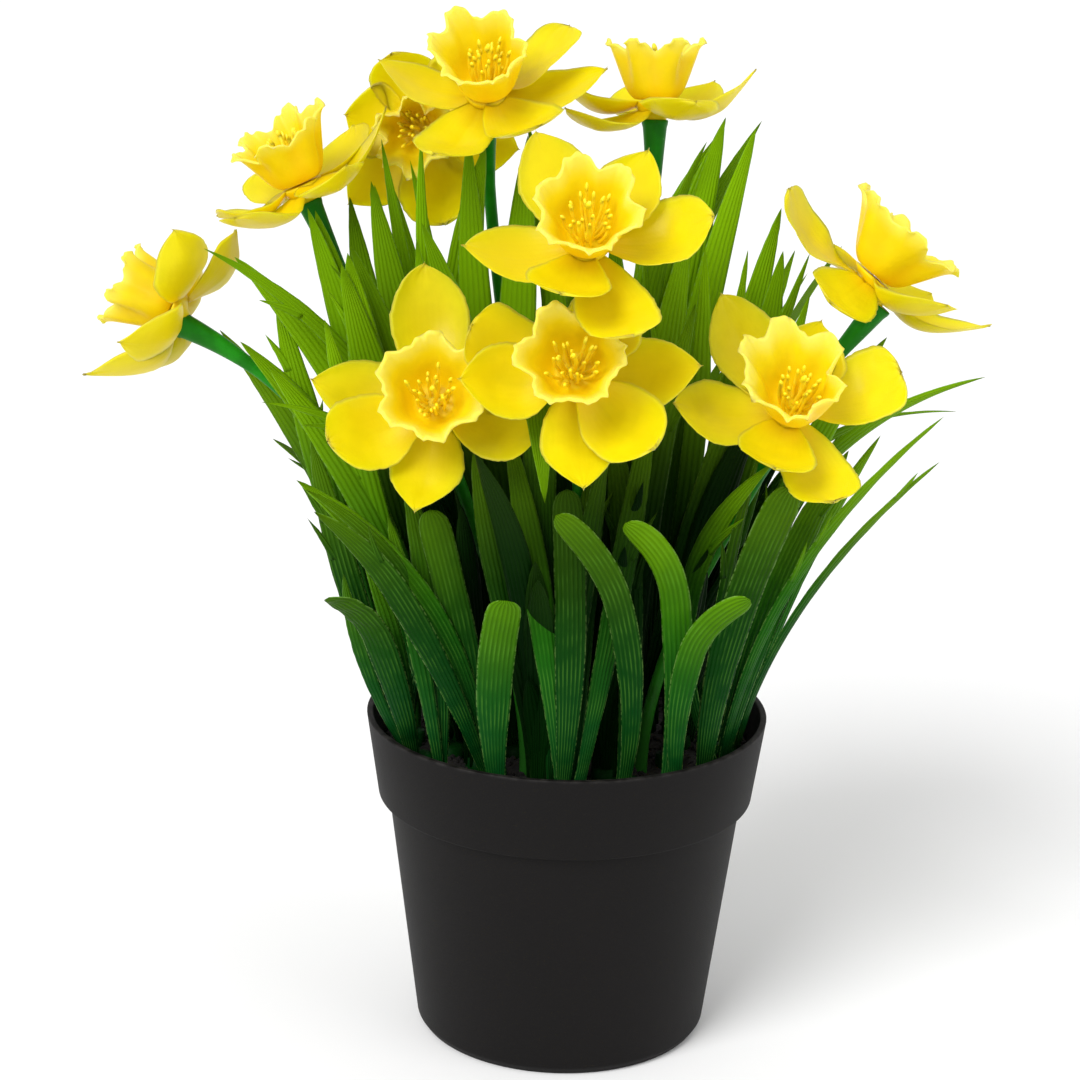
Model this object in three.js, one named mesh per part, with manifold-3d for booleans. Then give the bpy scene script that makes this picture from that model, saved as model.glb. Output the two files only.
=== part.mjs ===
// A potted daffodil of moulded plastic: ten trumpet flowers on green stems, in
// sprays of grass-like leaves, set in a block that fills a black nursery pot.
// Millimetres, +Z up. The origin is the centre of the pot's flat underside.
// The front of the arrangement looks along -Y.

import * as THREE from 'three';
import { mergeVertices } from 'three/addons/utils/BufferGeometryUtils.js';
import Module from 'manifold-3d';

const wasm = await Module();
wasm.setup();

// Pot: a tapered bucket with a deep collar

const POT = {
  rimRadius: 60,
  rimHeight: 99.6,
  collarFoot: 74.1,
  collarFootRadius: 56.3,
  bodyTopRadius: 53.3,
  footRadius: 44,
  footHeight: 2.4,
  flatRadius: 42.3,
  wall: 1.9,
  floor: 3,
  sides: 32,
};

// Potting block, and the plain holes that stems and sprays stand in

const BLOCK = { top: 88, gap: 0.4, holeDepth: 14, stemHole: 2.45, crownGap: 0.45 };

// Stems: slim, with a socket that flares to hold the flower

const STEM = { radius: 1.8, socketRadius: 3.7, socketLength: 25, sides: 6, sunk: 12, reach: 0.36 };
const PEG = { radius: 1.8, length: 4.5, sides: 6, gap: 0.6 };

// Flowers: six tepals in two layers of three round a ruffled trumpet

const TEPAL = { starts: [4.8, 3.6], width: 21, thickness: 0.9, cups: [0.2, 0.08], layerStep: 2,
  neckShare: 0.3, rollFrom: 0.1, rollBy: 0.5 };
const POINTED = { widest: 0.5, power: 1.9, round: 0.85, stations: [0, 0.3, 0.58, 0.83] };
const ROUND = { widest: 0.58, power: 2.5, round: 0.6, stations: [0, 0.3, 0.62, 0.92] };
const SQUARE = { widest: 0.68, power: 4, round: 0.5, stations: [0, 0.32, 0.68, 0.95] };
const HUB = { radius: 6.2, neckRadius: 4.2, tubeRadius: 3.3, top: 0.7, sides: 7 };
const TRUMPET = { base: 7.4, foot: 1.4, height: 17.1, mouth: 15, wall: 0.9, lobes: 6, segments: 18 };
const STAMEN = { count: 3, radius: 0.6, ring: 2.4, spread: 1.5, height: 12.5, pistil: 14, sides: 3 };

// Each flower: the heart is where tepals and trumpet meet. It faces azimuth az
// (0 is the front, + towards +X) at elevation el. Tepals are [angle, length, lift,
// bow, roll, end], the outer three first: the bow hollows the face, and the roll
// turns the blade about its own length. The root is where the stem enters the block.

const FLOWERS = [
  { heart: [-115, 0, 220], az: -98, el: 22, root: [-46, 12], mouth: 14, phase: 0.4, neck: [1.3, -3.8, -5],
    tepals: [[342, 28, 14, 3, 0, SQUARE], [122, 29, -10, 6, 0, POINTED], [244, 34, 14, 4.5, 0, POINTED],
      [60, 30, 12, 3, -20, ROUND], [182, 32, 12, 3, 0, ROUND], [298, 34, 30, 4.5, 15, POINTED]] },
  { heart: [-80, 12, 254], az: -93, el: 66, root: [-26, 16], mouth: 14.5, phase: 1.1,
    tepals: [[88, 34, 19, 2, 10, POINTED], [208, 32, 10, 2.5, 0, ROUND], [330, 32, 4, 4, 0, SQUARE],
      [38, 33, 4, 3.5, 0, POINTED], [148, 32, 12, 2.5, 0, ROUND], [278, 31, 2, 4, 0, SQUARE]] },
  { heart: [-47, 39, 267], az: -12, el: 12, root: [-16, 26], mouth: 13.3, phase: 2.0,
    tepals: [[229, 31, 8, 2, 0, POINTED], [108, 24, 20, 2, 0, ROUND], [350, 32, 8, 2, 0, POINTED],
      [172, 23, 10, 2, 0, POINTED], [290, 30, 10, 2, 0, ROUND], [50, 31, 10, 2, 0, ROUND]] },
  { heart: [-27, 5, 283], az: 0, el: 58, root: [-8, -4], mouth: 14.5, phase: 0.2,
    tepals: [[166, 32, 10, 2.5, 12, POINTED], [6, 35, 11, 2, -12, POINTED], [246, 35, 6, 2.5, 0, ROUND],
      [40, 31, 15, 2, -20, SQUARE], [108, 26, 4, 2, 0, ROUND], [304, 29, 14, 3, 0, SQUARE]] },
  { heart: [22, 32, 277], az: -176, el: 80, root: [12, 28], mouth: 15, phase: 0.9,
    tepals: [[35, 34, -3, 5, 0, POINTED], [165, 31, 18, 3.5, 0, POINTED], [275, 31, 12, 3, 0, ROUND],
      [355, 28, 8, 3, 0, ROUND], [105, 29, -2, 3.5, 0, ROUND], [225, 30, 14, 3.5, 0, POINTED]] },
  { heart: [2, -56, 252], az: -3, el: 49, root: [2, -16], mouth: 15.5, phase: 1.6,
    tepals: [[190, 34, 8, 2.5, 0, POINTED], [113, 36, 14, 2, 0, SQUARE], [302, 37, 6, 2.5, 0, SQUARE],
      [58, 31, 17, 2, -16, POINTED], [4, 34, 12, 2.5, 0, ROUND], [257, 33, 22, 2.5, 0, ROUND]] },
  { heart: [85, 6, 232], az: 93, el: 52, root: [24, 20], mouth: 18.5, phase: 0.6, neck: [0, -7.5, -7],
    tepals: [[80, 35, 6, 2.5, 22, SQUARE], [160, 32, -20, 2, 0, SQUARE], [317, 33, 8, 3, 0, ROUND],
      [257, 38, 17, 5, 0, POINTED], [17, 32, 10, 2, 0, ROUND], [206, 33, 13, 3, 12, ROUND]] },
  { heart: [-39, -42, 203], az: -2, el: 31, root: [-12, -22], mouth: 15.5, phase: 2.6,
    tepals: [[172, 35, 8, 2.5, 0, POINTED], [262, 32, 6, 2, 0, POINTED], [30, 33, 8, 2, 0, POINTED],
      [95, 38, 8, 2.5, 0, POINTED], [209, 32, 14, 2.5, 0, ROUND], [345, 31, 10, 2.5, 0, ROUND]] },
  { heart: [-1, -57, 216], az: -3, el: 32, root: [4, -32], mouth: 14.8, phase: 0.0,
    tepals: [[150, 32, 8, 2, 0, SQUARE], [278, 34, 8, 2.5, 0, POINTED], [4, 35, 8, 2.5, 0, POINTED],
      [192, 32, 16, 2.5, 0, POINTED], [314, 33, 14, 2.5, 0, ROUND], [60, 24, 10, 2, 0, ROUND]] },
  { heart: [59, -46, 205], az: 9, el: 45, root: [22, -22], mouth: 15.5, phase: 3.1,
    tepals: [[110, 38, 10, 2.5, 0, SQUARE], [180, 34, 8, 2.5, 0, ROUND], [289, 33, 6, 2.5, 0, SQUARE],
      [257, 32, 20, 2.5, 0, ROUND], [13, 33, 14, 2.5, 0, SQUARE], [62, 32, 14, 2, 0, ROUND]] },
];

// Leaves. Each spray stands on one crown. A leaf's spine is the parabola from the
// crown through via to tip, and face is the azimuth that its blade looks along
// (90 is the back), by default its own lean. A curl bends the last third sideways,
// tip included. Ends are narrow, or blunt.

const LEAF = { thickness: 0.9, channel: 0.07, base: 0.5, widest: 0.62, taper: 2.4, curlFrom: 0.65, rise: 1.6,
  stations: [0, 0.25, 0.5, 0.74, 0.92] };
const CROWN = { radius: 4.6, height: 14, above: 4, sides: 5, leafOffset: 2.5 };

const FRONT = -90;
const SPRAYS = [
  { root: [-43, -20], leaves: [
    { via: [-56, -42, 138], tip: [-69, -48, 148], width: 9.5, face: FRONT, curl: [-6, 0, -8], blunt: true },
    { via: [-60, -26, 124], tip: [-65, -30, 150], width: 5, face: -110 },
    { via: [-50, -32, 130], tip: [-60, -34, 160], width: 5, face: FRONT },
    { via: [-64, -23, 145], tip: [-75, -20, 187], width: 9, face: -100 }] },
  { root: [-34, -34], leaves: [
    { via: [-44, -40, 136], tip: [-52, -38, 170], width: 6, face: FRONT },
    { via: [-38, -37, 130], tip: [-48, -33, 182], width: 8, face: FRONT }] },
  { root: [-21, -31], leaves: [
    { via: [-46, -44, 153], tip: [-77, -46, 182], width: 8, face: -75 },
    { via: [-51, -46, 160], tip: [-74, -52, 181], width: 5, face: -60, curl: [-4, 0, -4] },
    { via: [-46, -51, 147], tip: [-71, -60, 177], width: 8, face: -80, curl: [-4, 0, -5] },
    { via: [-32.3, -39, 140], tip: [-40.1, -41.8, 173], width: 10, face: FRONT, blunt: true }] },
  { root: [-20, -45], leaves: [
    { via: [-21, -51, 127], tip: [-18, -58, 152], width: 11, face: FRONT, blunt: true }] },
  { root: [1, -47], leaves: [
    { via: [-9, -47, 149], tip: [-19, -36, 196], width: 8.5, face: FRONT },
    { via: [0, -50, 138], tip: [-2, -46, 181], width: 9.5, face: FRONT, blunt: true },
    { via: [12, -44, 142], tip: [22, -32, 205], width: 8, face: -75 },
    { via: [3.9, -36.4, 150], tip: [7.7, -29, 200], width: 8, face: FRONT }] },
  { root: [18, -38], leaves: [
    { via: [15, -53, 142], tip: [-5, -62, 178], width: 8.5, face: FRONT, curl: [-7, 0, -2], blunt: true },
    { via: [16.1, -34.2, 150], tip: [9.3, -30.4, 200], width: 9, face: FRONT }] },
  { root: [30, -40], leaves: [
    { via: [29, -50, 150], tip: [14, -58, 175], width: 9, face: FRONT, curl: [-9, 0, -6], blunt: true },
    { via: [34, -53, 136], tip: [49, -62, 155], width: 8, face: FRONT, curl: [8, 0, -3], blunt: true }] },
  { root: [38, -30], leaves: [
    { via: [47, -46, 146], tip: [60, -50, 184], width: 11, face: -80, blunt: true },
    { via: [45, -36, 158], tip: [52.4, -32.3, 190], width: 4.5, face: -60 }] },
  { root: [43, -21], leaves: [
    { via: [61, -26, 150], tip: [78, -24, 188], width: 10, face: -75 },
    { via: [65, -33, 154], tip: [103, -34, 201], width: 6.5, face: -50 },
    { via: [37.5, -31.7, 160], tip: [55.1, -40.6, 188], width: 7, face: -120 }] },
  { root: [48, -8], leaves: [
    { via: [70.2, -25.9, 147], tip: [103.1, -30.6, 187], width: 6.5, face: -40 },
    { via: [74, -14, 164], tip: [88, -14, 190], width: 7, face: -60 },
    { via: [83, -4, 188], tip: [119, -2, 205], width: 7, face: -60 }] },
  { root: [46, 9], leaves: [
    { via: [85, 14, 186], tip: [114, 16, 190], width: 4, face: -70 },
    { via: [76, 8, 190], tip: [91, 8, 214], width: 8, face: -70 },
    { via: [74, 18, 170], tip: [98, 24, 200], width: 8 }] },
  { root: [34, 1], leaves: [
    { via: [46.8, 9.1, 195], tip: [59.1, 15.6, 250], width: 8, face: -80 },
    { via: [43, 3, 180], tip: [49, 3, 240], width: 5, face: FRONT },
    { via: [48, -3, 175], tip: [66, -6, 241], width: 5, face: -70 },
    { via: [51, 2, 185], tip: [59, 2, 240], width: 9, face: -85 },
    { via: [50, -7, 165], tip: [66, -12, 230], width: 6, face: -80 }] },
  { root: [-46, -1], leaves: [
    { via: [-70, -16, 216], tip: [-104, -28, 243], width: 5, face: -70 },
    { via: [-70, -8, 205], tip: [-97, -14, 238], width: 9, face: -80 },
    { via: [-77, -8, 190], tip: [-86, -9, 226], width: 8, face: -95 },
    { via: [-80, 4, 180], tip: [-104, 8, 212], width: 7, face: -100 }] },
  { root: [-34, -12], leaves: [
    { via: [-76, -18, 194], tip: [-95, -20, 215], width: 8, face: -75 },
    { via: [-68, -28, 186], tip: [-86, -32, 211], width: 8.5, face: -75 },
    { via: [-70, -36, 198], tip: [-87, -42, 203], width: 3.5, face: -60 },
    { via: [-62, -28, 190], tip: [-70, -34, 225], width: 7, face: FRONT }] },
  { root: [-31, 2], leaves: [
    { via: [-66, -4, 215], tip: [-77, -6, 251], width: 9, face: FRONT },
    { via: [-55.3, -17.4, 190], tip: [-64.3, -24.8, 242], width: 11, face: FRONT },
    { via: [-51, -14, 205], tip: [-64, -18, 243], width: 9, face: -95 }] },
  { root: [-20, 7], leaves: [
    { via: [-50, -4, 215], tip: [-59, -6, 259], width: 10, face: -85 },
    { via: [-50, 6, 232], tip: [-57, 8, 269], width: 5, face: -100 },
    { via: [-60, 4, 220], tip: [-66, 8, 252], width: 9, face: FRONT }] },
  { root: [-15, -11], leaves: [
    { via: [-32, -14, 215], tip: [-44, -20, 250], width: 9, face: FRONT },
    { via: [-42, -6, 215], tip: [-46, -7, 243], width: 7, face: -100 },
    { via: [-30, -13, 175], tip: [-40, -18, 222], width: 9, face: FRONT }] },
  { root: [-6, 10], leaves: [
    { via: [-30, 6, 232], tip: [-32, 8, 270], width: 9, face: FRONT },
    { via: [-8, 10, 235], tip: [-15, 8, 274], width: 7, face: -80 },
    { via: [-44, -1, 235], tip: [-45, -3, 272], width: 5, face: -80 },
    { via: [-2, 26, 190], tip: [-4, 40, 240], width: 9 }] },
  { root: [12, 12], leaves: [
    { via: [19, 9, 195], tip: [36, 2, 271], width: 7, face: -60, curl: [9, -2, -5] },
    { via: [30, 12, 235], tip: [42, 16, 276], width: 9, face: -80 },
    { via: [35, 19, 240], tip: [53, 24, 274], width: 7, face: -70 },
    { via: [13.6, 22.1, 190], tip: [10.9, 36, 240], width: 9 },
    { via: [8, 10, 170], tip: [2, 8, 225], width: 9, face: FRONT }] },
  { root: [17, -12], leaves: [
    { via: [36, -7, 205], tip: [36, -7, 242], width: 6, face: FRONT },
    { via: [25, -12, 205], tip: [31, -13, 248], width: 10, face: -80 },
    { via: [27, -20, 200], tip: [33, -26, 230], width: 7, face: FRONT },
    { via: [40, -22, 180], tip: [48, -28, 212], width: 8, face: -75 },
    { via: [18, -8, 165], tip: [17, -2, 218], width: 9, face: FRONT }] },
];

// The back, which the front hides: sprays by a rule, leaning outwards.

const BACK = { roots: [[-39, 25], [-20, 42], [2, 48], [24, 41], [38, 29], [-2, 29]], leaves: 4,
  fan: 80, nearLean: 14, leanPerRadius: 0.95, low: 150, high: 250, widths: [6, 10], seed: 12 };

const COLOURS = {
  pot: 0x262424, block: 0x15120f, stem: 0x2f8a1e, tepal: 0xe8cf12, trumpet: 0xf2c408, leaf: 0x4c8a14,
};

// Small helpers

function seededDraw(seed) {
  let state = seed >>> 0;
  return () => {
    state = (state + 0x6d2b79f5) >>> 0;
    let t = Math.imul(state ^ (state >>> 15), 1 | state);
    t = (t + Math.imul(t ^ (t >>> 7), 61 | t)) ^ t;
    return ((t ^ (t >>> 14)) >>> 0) / 4294967296;
  };
}

const vec = (p) => new THREE.Vector3(p[0], p[1], p[2]);
const radians = THREE.MathUtils.degToRad;

function toSolid(geometry) {
  const bare = geometry.index ? geometry.clone() : geometry;
  bare.deleteAttribute('normal');
  bare.deleteAttribute('uv');
  const merged = mergeVertices(bare, 1e-4);
  const mesh = new wasm.Mesh({
    numProp: 3,
    vertProperties: new Float32Array(merged.attributes.position.array),
    triVerts: new Uint32Array(merged.index.array),
  });
  return new wasm.Manifold(mesh);
}

function toGeometry(solid) {
  const mesh = solid.getMesh();
  const geometry = new THREE.BufferGeometry();
  geometry.setAttribute('position', new THREE.BufferAttribute(mesh.vertProperties, 3));
  geometry.setIndex(new THREE.BufferAttribute(mesh.triVerts, 1));
  geometry.computeVertexNormals();
  return geometry;
}

function joined(solids) {
  let sum = solids[0];
  for (const solid of solids.slice(1)) {
    sum = sum.add(solid);
  }
  return sum;
}

// Keeps the largest body: a sealed hollow is filled and a loose scrap dropped.
function oneBody(solid) {
  return solid.decompose().sort((a, b) => b.volume() - a.volume())[0];
}

// A closed skin through rings of equally many points. Each end is a flat cap,
// or runs out to a point. Every quad has the same diagonal.
function loft(rings, tip = null) {
  const count = rings[0].length;
  const points = rings.flat();
  const faces = [];
  for (let i = 0; i + 1 < rings.length; i += 1) {
    for (let j = 0; j < count; j += 1) {
      const a = i * count + j;
      const b = i * count + (j + 1) % count;
      faces.push(a, b, b + count, a, b + count, a + count);
    }
  }
  const last = (rings.length - 1) * count;
  for (let j = 1; j + 1 < count; j += 1) {
    faces.push(0, j + 1, j);
  }
  if (tip) {
    points.push(tip);
    for (let j = 0; j < count; j += 1) {
      faces.push(last + j, last + (j + 1) % count, points.length - 1);
    }
  } else {
    for (let j = 1; j + 1 < count; j += 1) {
      faces.push(last, last + j, last + j + 1);
    }
  }
  const geometry = new THREE.BufferGeometry().setFromPoints(points);
  geometry.setIndex(faces);
  return geometry;
}

function lathe(profile, sides) {
  const points = profile.map(([r, z]) => new THREE.Vector2(r, z));
  return new THREE.LatheGeometry(points, sides).rotateX(Math.PI / 2);
}

// A ring of a round tube at a point, square to the direction
function roundRing(centre, direction, radius, sides) {
  const side = new THREE.Vector3(0, 1, 0).cross(direction);
  if (side.lengthSq() < 0.05) {
    side.set(1, 0, 0);
  }
  side.addScaledVector(direction, -side.dot(direction)).normalize();
  const other = direction.clone().cross(side);
  const ring = [];
  for (let i = 0; i < sides; i += 1) {
    const angle = (2 * Math.PI * i) / sides;
    ring.push(centre.clone()
      .addScaledVector(side, radius * Math.cos(angle))
      .addScaledVector(other, radius * Math.sin(angle)));
  }
  return ring;
}

// Pot and potting block

function bodyRadius(z) {
  const share = (z - POT.footHeight) / (POT.collarFoot - POT.footHeight);
  return POT.footRadius + (POT.bodyTopRadius - POT.footRadius) * share;
}

function collarRadius(z) {
  const share = (z - POT.collarFoot) / (POT.rimHeight - POT.collarFoot);
  return POT.collarFootRadius + (POT.rimRadius - POT.collarFootRadius) * share;
}

const LEDGE_INSIDE = POT.collarFoot + POT.wall;

function potSolid() {
  const outer = [
    [0, 0],
    [POT.flatRadius, 0],
    [POT.footRadius - 0.5, 0.7],
    [POT.footRadius, POT.footHeight],
    [POT.bodyTopRadius, POT.collarFoot],
    [POT.collarFootRadius - 0.7, POT.collarFoot],
    [POT.collarFootRadius, POT.collarFoot + 0.8],
    [POT.rimRadius, POT.rimHeight - 0.7],
    [POT.rimRadius - 0.6, POT.rimHeight],
  ];
  const inner = [
    [POT.rimRadius - POT.wall, POT.rimHeight],
    [collarRadius(LEDGE_INSIDE) - POT.wall, LEDGE_INSIDE],
    [bodyRadius(POT.collarFoot) - POT.wall, POT.collarFoot],
    [bodyRadius(POT.floor) - POT.wall, POT.floor],
    [0, POT.floor],
  ];
  return toSolid(lathe([...outer, ...inner], POT.sides));
}

function blockSolid(holes) {
  const inset = POT.wall + BLOCK.gap;
  const foot = POT.floor + BLOCK.gap;
  const ledge = LEDGE_INSIDE + BLOCK.gap;
  const block = toSolid(lathe([
    [0, foot],
    [bodyRadius(foot) - inset, foot],
    [bodyRadius(POT.collarFoot) - inset, POT.collarFoot + BLOCK.gap],
    [collarRadius(ledge) - inset, ledge],
    [collarRadius(BLOCK.top) - inset, BLOCK.top],
    [0, BLOCK.top],
  ], POT.sides));
  const tools = holes.map(({ at, radius, sides }) => {
    const tool = new THREE.CylinderGeometry(radius, radius, BLOCK.holeDepth * 2, sides);
    tool.rotateX(Math.PI / 2).translate(at[0], at[1], BLOCK.top);
    return toSolid(tool);
  });
  return block.subtract(joined(tools));
}

// Flowers

function flowerTurn({ az, el }) {
  const a = radians(az);
  const e = radians(el);
  const axis = new THREE.Vector3(Math.sin(a) * Math.cos(e), -Math.cos(a) * Math.cos(e), Math.sin(e));
  const across = new THREE.Vector3(0, 0, 1).cross(axis).normalize();
  const up = axis.clone().cross(across);
  return new THREE.Quaternion().setFromRotationMatrix(new THREE.Matrix4().makeBasis(across, up, axis));
}

function tepalHalfWidth(u, { widest, power, round }) {
  if (u < widest) {
    return (TEPAL.width / 2) * (1 - (1 - TEPAL.neckShare) * ((widest - u) / widest) ** 2);
  }
  return (TEPAL.width / 2) * (1 - ((u - widest) / (1 - widest)) ** power) ** round;
}

function tepalPoint([angle, length, lift, bow, roll, end], layer, u, v, side) {
  const rise = radians(lift);
  const start = TEPAL.starts[layer];
  const radius = start + (length * Math.cos(rise) - start) * u;
  const across = v * tepalHalfWidth(u, end);
  const rolled = radians(roll) * THREE.MathUtils.smoothstep(u, TEPAL.rollFrom, TEPAL.rollBy);
  const spine = length * Math.sin(rise) * u ** 1.6 - layer * TEPAL.layerStep * (1 - u * u)
    - bow * Math.sin(Math.PI * u);
  const height = spine + TEPAL.cups[layer] * v * across + across * Math.sin(rolled);
  const sideways = across * Math.cos(rolled);
  const turn = radians(angle);
  return new THREE.Vector3(
    radius * Math.cos(turn) - sideways * Math.sin(turn),
    radius * Math.sin(turn) + sideways * Math.cos(turn),
    height + (side * TEPAL.thickness) / 2,
  );
}

function tepalSolid(tepal, layer) {
  const section = [[-1, 0], [-0.4, -1], [0.4, -1], [1, 0], [0.4, 1], [-0.4, 1]];
  const rings = tepal[5].stations.map((u) =>
    section.map(([v, side]) => tepalPoint(tepal, layer, u, v, side)));
  return toSolid(loft(rings, tepalPoint(tepal, layer, 1, 0, 0)));
}

// The neck runs from the hub back to the stem's socket, aslant where neck is given.
const STRAIGHT_NECK = [0, 0, -7];
const AXIS = new THREE.Vector3(0, 0, 1);

function perianthSolid({ neck = STRAIGHT_NECK, tepals }) {
  const hubRing = (share, radius) => {
    const centre = vec(neck).lerp(vec([0, 0, HUB.top]), share);
    return roundRing(centre, AXIS, radius, HUB.sides);
  };
  const hub = loft([
    hubRing(0, HUB.tubeRadius),
    hubRing(0.45, HUB.neckRadius),
    hubRing(0.88, HUB.radius),
    hubRing(1, HUB.radius),
  ]);
  const peg = loft([-PEG.length, 1].map((z) =>
    roundRing(vec(neck).addScaledVector(AXIS, z), AXIS, PEG.radius, PEG.sides)));
  const blades = tepals.map((tepal, i) => tepalSolid(tepal, i < 3 ? 1 : 0));
  return oneBody(joined([toSolid(hub), toSolid(peg), ...blades]));
}

function trumpetSolid({ mouth, phase }) {
  const lobe = (angle) => Math.cos(TRUMPET.lobes * angle + phase);
  const frill = (angle) => Math.cos(11 * angle + 2 * phase);
  const top = TRUMPET.foot + TRUMPET.height;
  const stations = [
    [TRUMPET.base, TRUMPET.foot, 0, 0],
    [11.4, 10.8, 0.4, 0.3],
    [mouth, top, 1.8, 1.7],
    [mouth - 0.7, top + 0.5, 1.7, 1.7],
    [10.4, 10.2, 0.4, 0.3],
    [TRUMPET.base - TRUMPET.wall, TRUMPET.foot + 1.8, 0, 0],
  ];
  const rings = stations.map(([radius, z, outSwing, upSwing]) => {
    const ring = [];
    for (let i = 0; i < TRUMPET.segments; i += 1) {
      const angle = (2 * Math.PI * i) / TRUMPET.segments;
      const r = radius + outSwing * (lobe(angle) + 0.4 * frill(angle));
      ring.push(vec([r * Math.cos(angle), r * Math.sin(angle), z + upSwing * (lobe(angle) - 1)]));
    }
    return ring;
  });
  const solids = [toSolid(loft(rings))];
  const floor = TRUMPET.foot + 1.8;
  for (let i = 0; i <= STAMEN.count; i += 1) {
    const centre = i === STAMEN.count;
    const angle = (2 * Math.PI * i) / STAMEN.count + phase;
    const reach = centre ? 0 : STAMEN.ring;
    const height = centre ? STAMEN.pistil : STAMEN.height + Math.sin(5 * angle);
    const foot = vec([reach * Math.cos(angle), reach * Math.sin(angle), floor - 0.7]);
    const head = foot.clone().multiplyScalar(centre ? 0 : 1 + STAMEN.spread / STAMEN.ring).setZ(height);
    const along = head.clone().sub(foot).normalize();
    const neck = head.clone().addScaledVector(along, -2);
    const ends = [foot, neck].map((p) => roundRing(p, along, STAMEN.radius, STAMEN.sides));
    solids.push(toSolid(loft(ends, head)));
  }
  return oneBody(joined(solids));
}

function stemSolid(flower) {
  const turn = flowerTurn(flower);
  const top = vec(flower.neck ?? STRAIGHT_NECK).applyQuaternion(turn).add(vec(flower.heart));
  const along = AXIS.clone().applyQuaternion(turn);
  const ground = vec([...flower.root, BLOCK.top + 1]);
  const pull = STEM.reach * top.distanceTo(ground);
  const path = new THREE.CubicBezierCurve3(
    ground,
    ground.clone().add(vec([0, 0, pull])),
    top.clone().addScaledVector(along, -pull),
    top.clone().addScaledVector(along, -0.3),
  );
  const flare = STEM.socketLength / path.getLength();
  const shares = [0, 0.25, 0.5, 0.7, 1 - flare, 1 - flare / 2, 1];
  const rings = shares.map((share) => {
    const open = Math.max(0, (share - 1 + flare) / flare);
    const radius = STEM.radius + (STEM.socketRadius - STEM.radius) * open ** 1.2;
    return roundRing(path.getPointAt(share), path.getTangentAt(share), radius, STEM.sides);
  });
  rings.unshift(rings[0].map((point) => point.clone().setZ(BLOCK.top - STEM.sunk)));
  const hole = [-PEG.length - PEG.gap, 2].map((step) => {
    const centre = path.getPointAt(1).addScaledVector(along, step);
    return roundRing(centre, along, PEG.radius + PEG.gap, PEG.sides);
  });
  return toSolid(loft(rings)).subtract(toSolid(loft(hole)));
}

// Leaves

function leafSpine(root, { via, tip, curl }) {
  const end = tip.clone().sub(curl);
  const near = via.distanceTo(root);
  const s = near / (near + end.distanceTo(via));
  const control = via.clone()
    .addScaledVector(root, -((1 - s) ** 2))
    .addScaledVector(end, -(s ** 2))
    .divideScalar(2 * s * (1 - s));
  return new THREE.QuadraticBezierCurve3(root, control, end);
}

function spineAt(spine, curl, t) {
  const bend = Math.max(0, (t - LEAF.curlFrom) / (1 - LEAF.curlFrom));
  const curlSlope = (2 * bend) / (1 - LEAF.curlFrom);
  const point = spine.getPoint(t).addScaledVector(curl, bend ** 2);
  const along = spine.v1.clone().sub(spine.v0).multiplyScalar(2 * (1 - t))
    .addScaledVector(spine.v2.clone().sub(spine.v1), 2 * t)
    .addScaledVector(curl, curlSlope)
    .normalize();
  return { point, along };
}

function leafWidth(t, blunt) {
  const growth = LEAF.base + (1 - LEAF.base) * Math.sin((Math.PI / 2) * Math.min(t / LEAF.widest, 1));
  const from = blunt ? 0.82 : LEAF.widest;
  const taper = t > from ? 1 - ((t - from) / (1 - from)) ** (blunt ? 3 : LEAF.taper) : 1;
  return growth * taper;
}

function leafSolid(root, leaf) {
  const spine = leafSpine(root, leaf);
  const face = radians(leaf.face);
  const across = new THREE.Vector3(-Math.sin(face), Math.cos(face), 0);
  const stations = leaf.blunt ? [...LEAF.stations, 0.97] : LEAF.stations;
  const rings = stations.map((t) => {
    const { point, along } = spineAt(spine, leaf.curl, t);
    const side = across.clone().addScaledVector(along, -across.dot(along)).normalize();
    const out = along.clone().cross(side);
    const half = (leaf.width / 2) * leafWidth(t, leaf.blunt);
    const edge = 2 * LEAF.channel * half;
    const thick = LEAF.thickness / 2;
    const at = (s, n) => point.clone().addScaledVector(side, s).addScaledVector(out, n);
    return [at(-half, edge), at(0, -thick), at(half, edge), at(0, thick)];
  });
  return toSolid(loft(rings, spineAt(spine, leaf.curl, 1).point));
}

function crownSolid([x, y]) {
  const crown = new THREE.CylinderGeometry(CROWN.radius, CROWN.radius, CROWN.height, CROWN.sides);
  crown.rotateX(Math.PI / 2).translate(x, y, BLOCK.top + CROWN.above - CROWN.height / 2);
  return toSolid(crown);
}

function leafRoot([x, y], tip) {
  const lean = new THREE.Vector2(tip.x - x, tip.y - y).normalize().multiplyScalar(CROWN.leafOffset);
  return vec([x + lean.x, y + lean.y, BLOCK.top + LEAF.rise]);
}

// A leaf with every value that its line in the list leaves out
function fullLeaf(leaf, root) {
  const tip = vec(leaf.tip);
  const lean = THREE.MathUtils.radToDeg(Math.atan2(tip.y - root[1], tip.x - root[0]));
  return { blunt: false, face: lean, ...leaf, via: vec(leaf.via), tip, curl: vec(leaf.curl ?? [0, 0, 0]) };
}

function spraySolid({ root, leaves }) {
  const blades = leaves.map((written) => {
    const leaf = fullLeaf(written, root);
    return leafSolid(leafRoot(root, leaf.tip), leaf);
  });
  return oneBody(joined([crownSolid(root), ...blades]));
}

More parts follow.
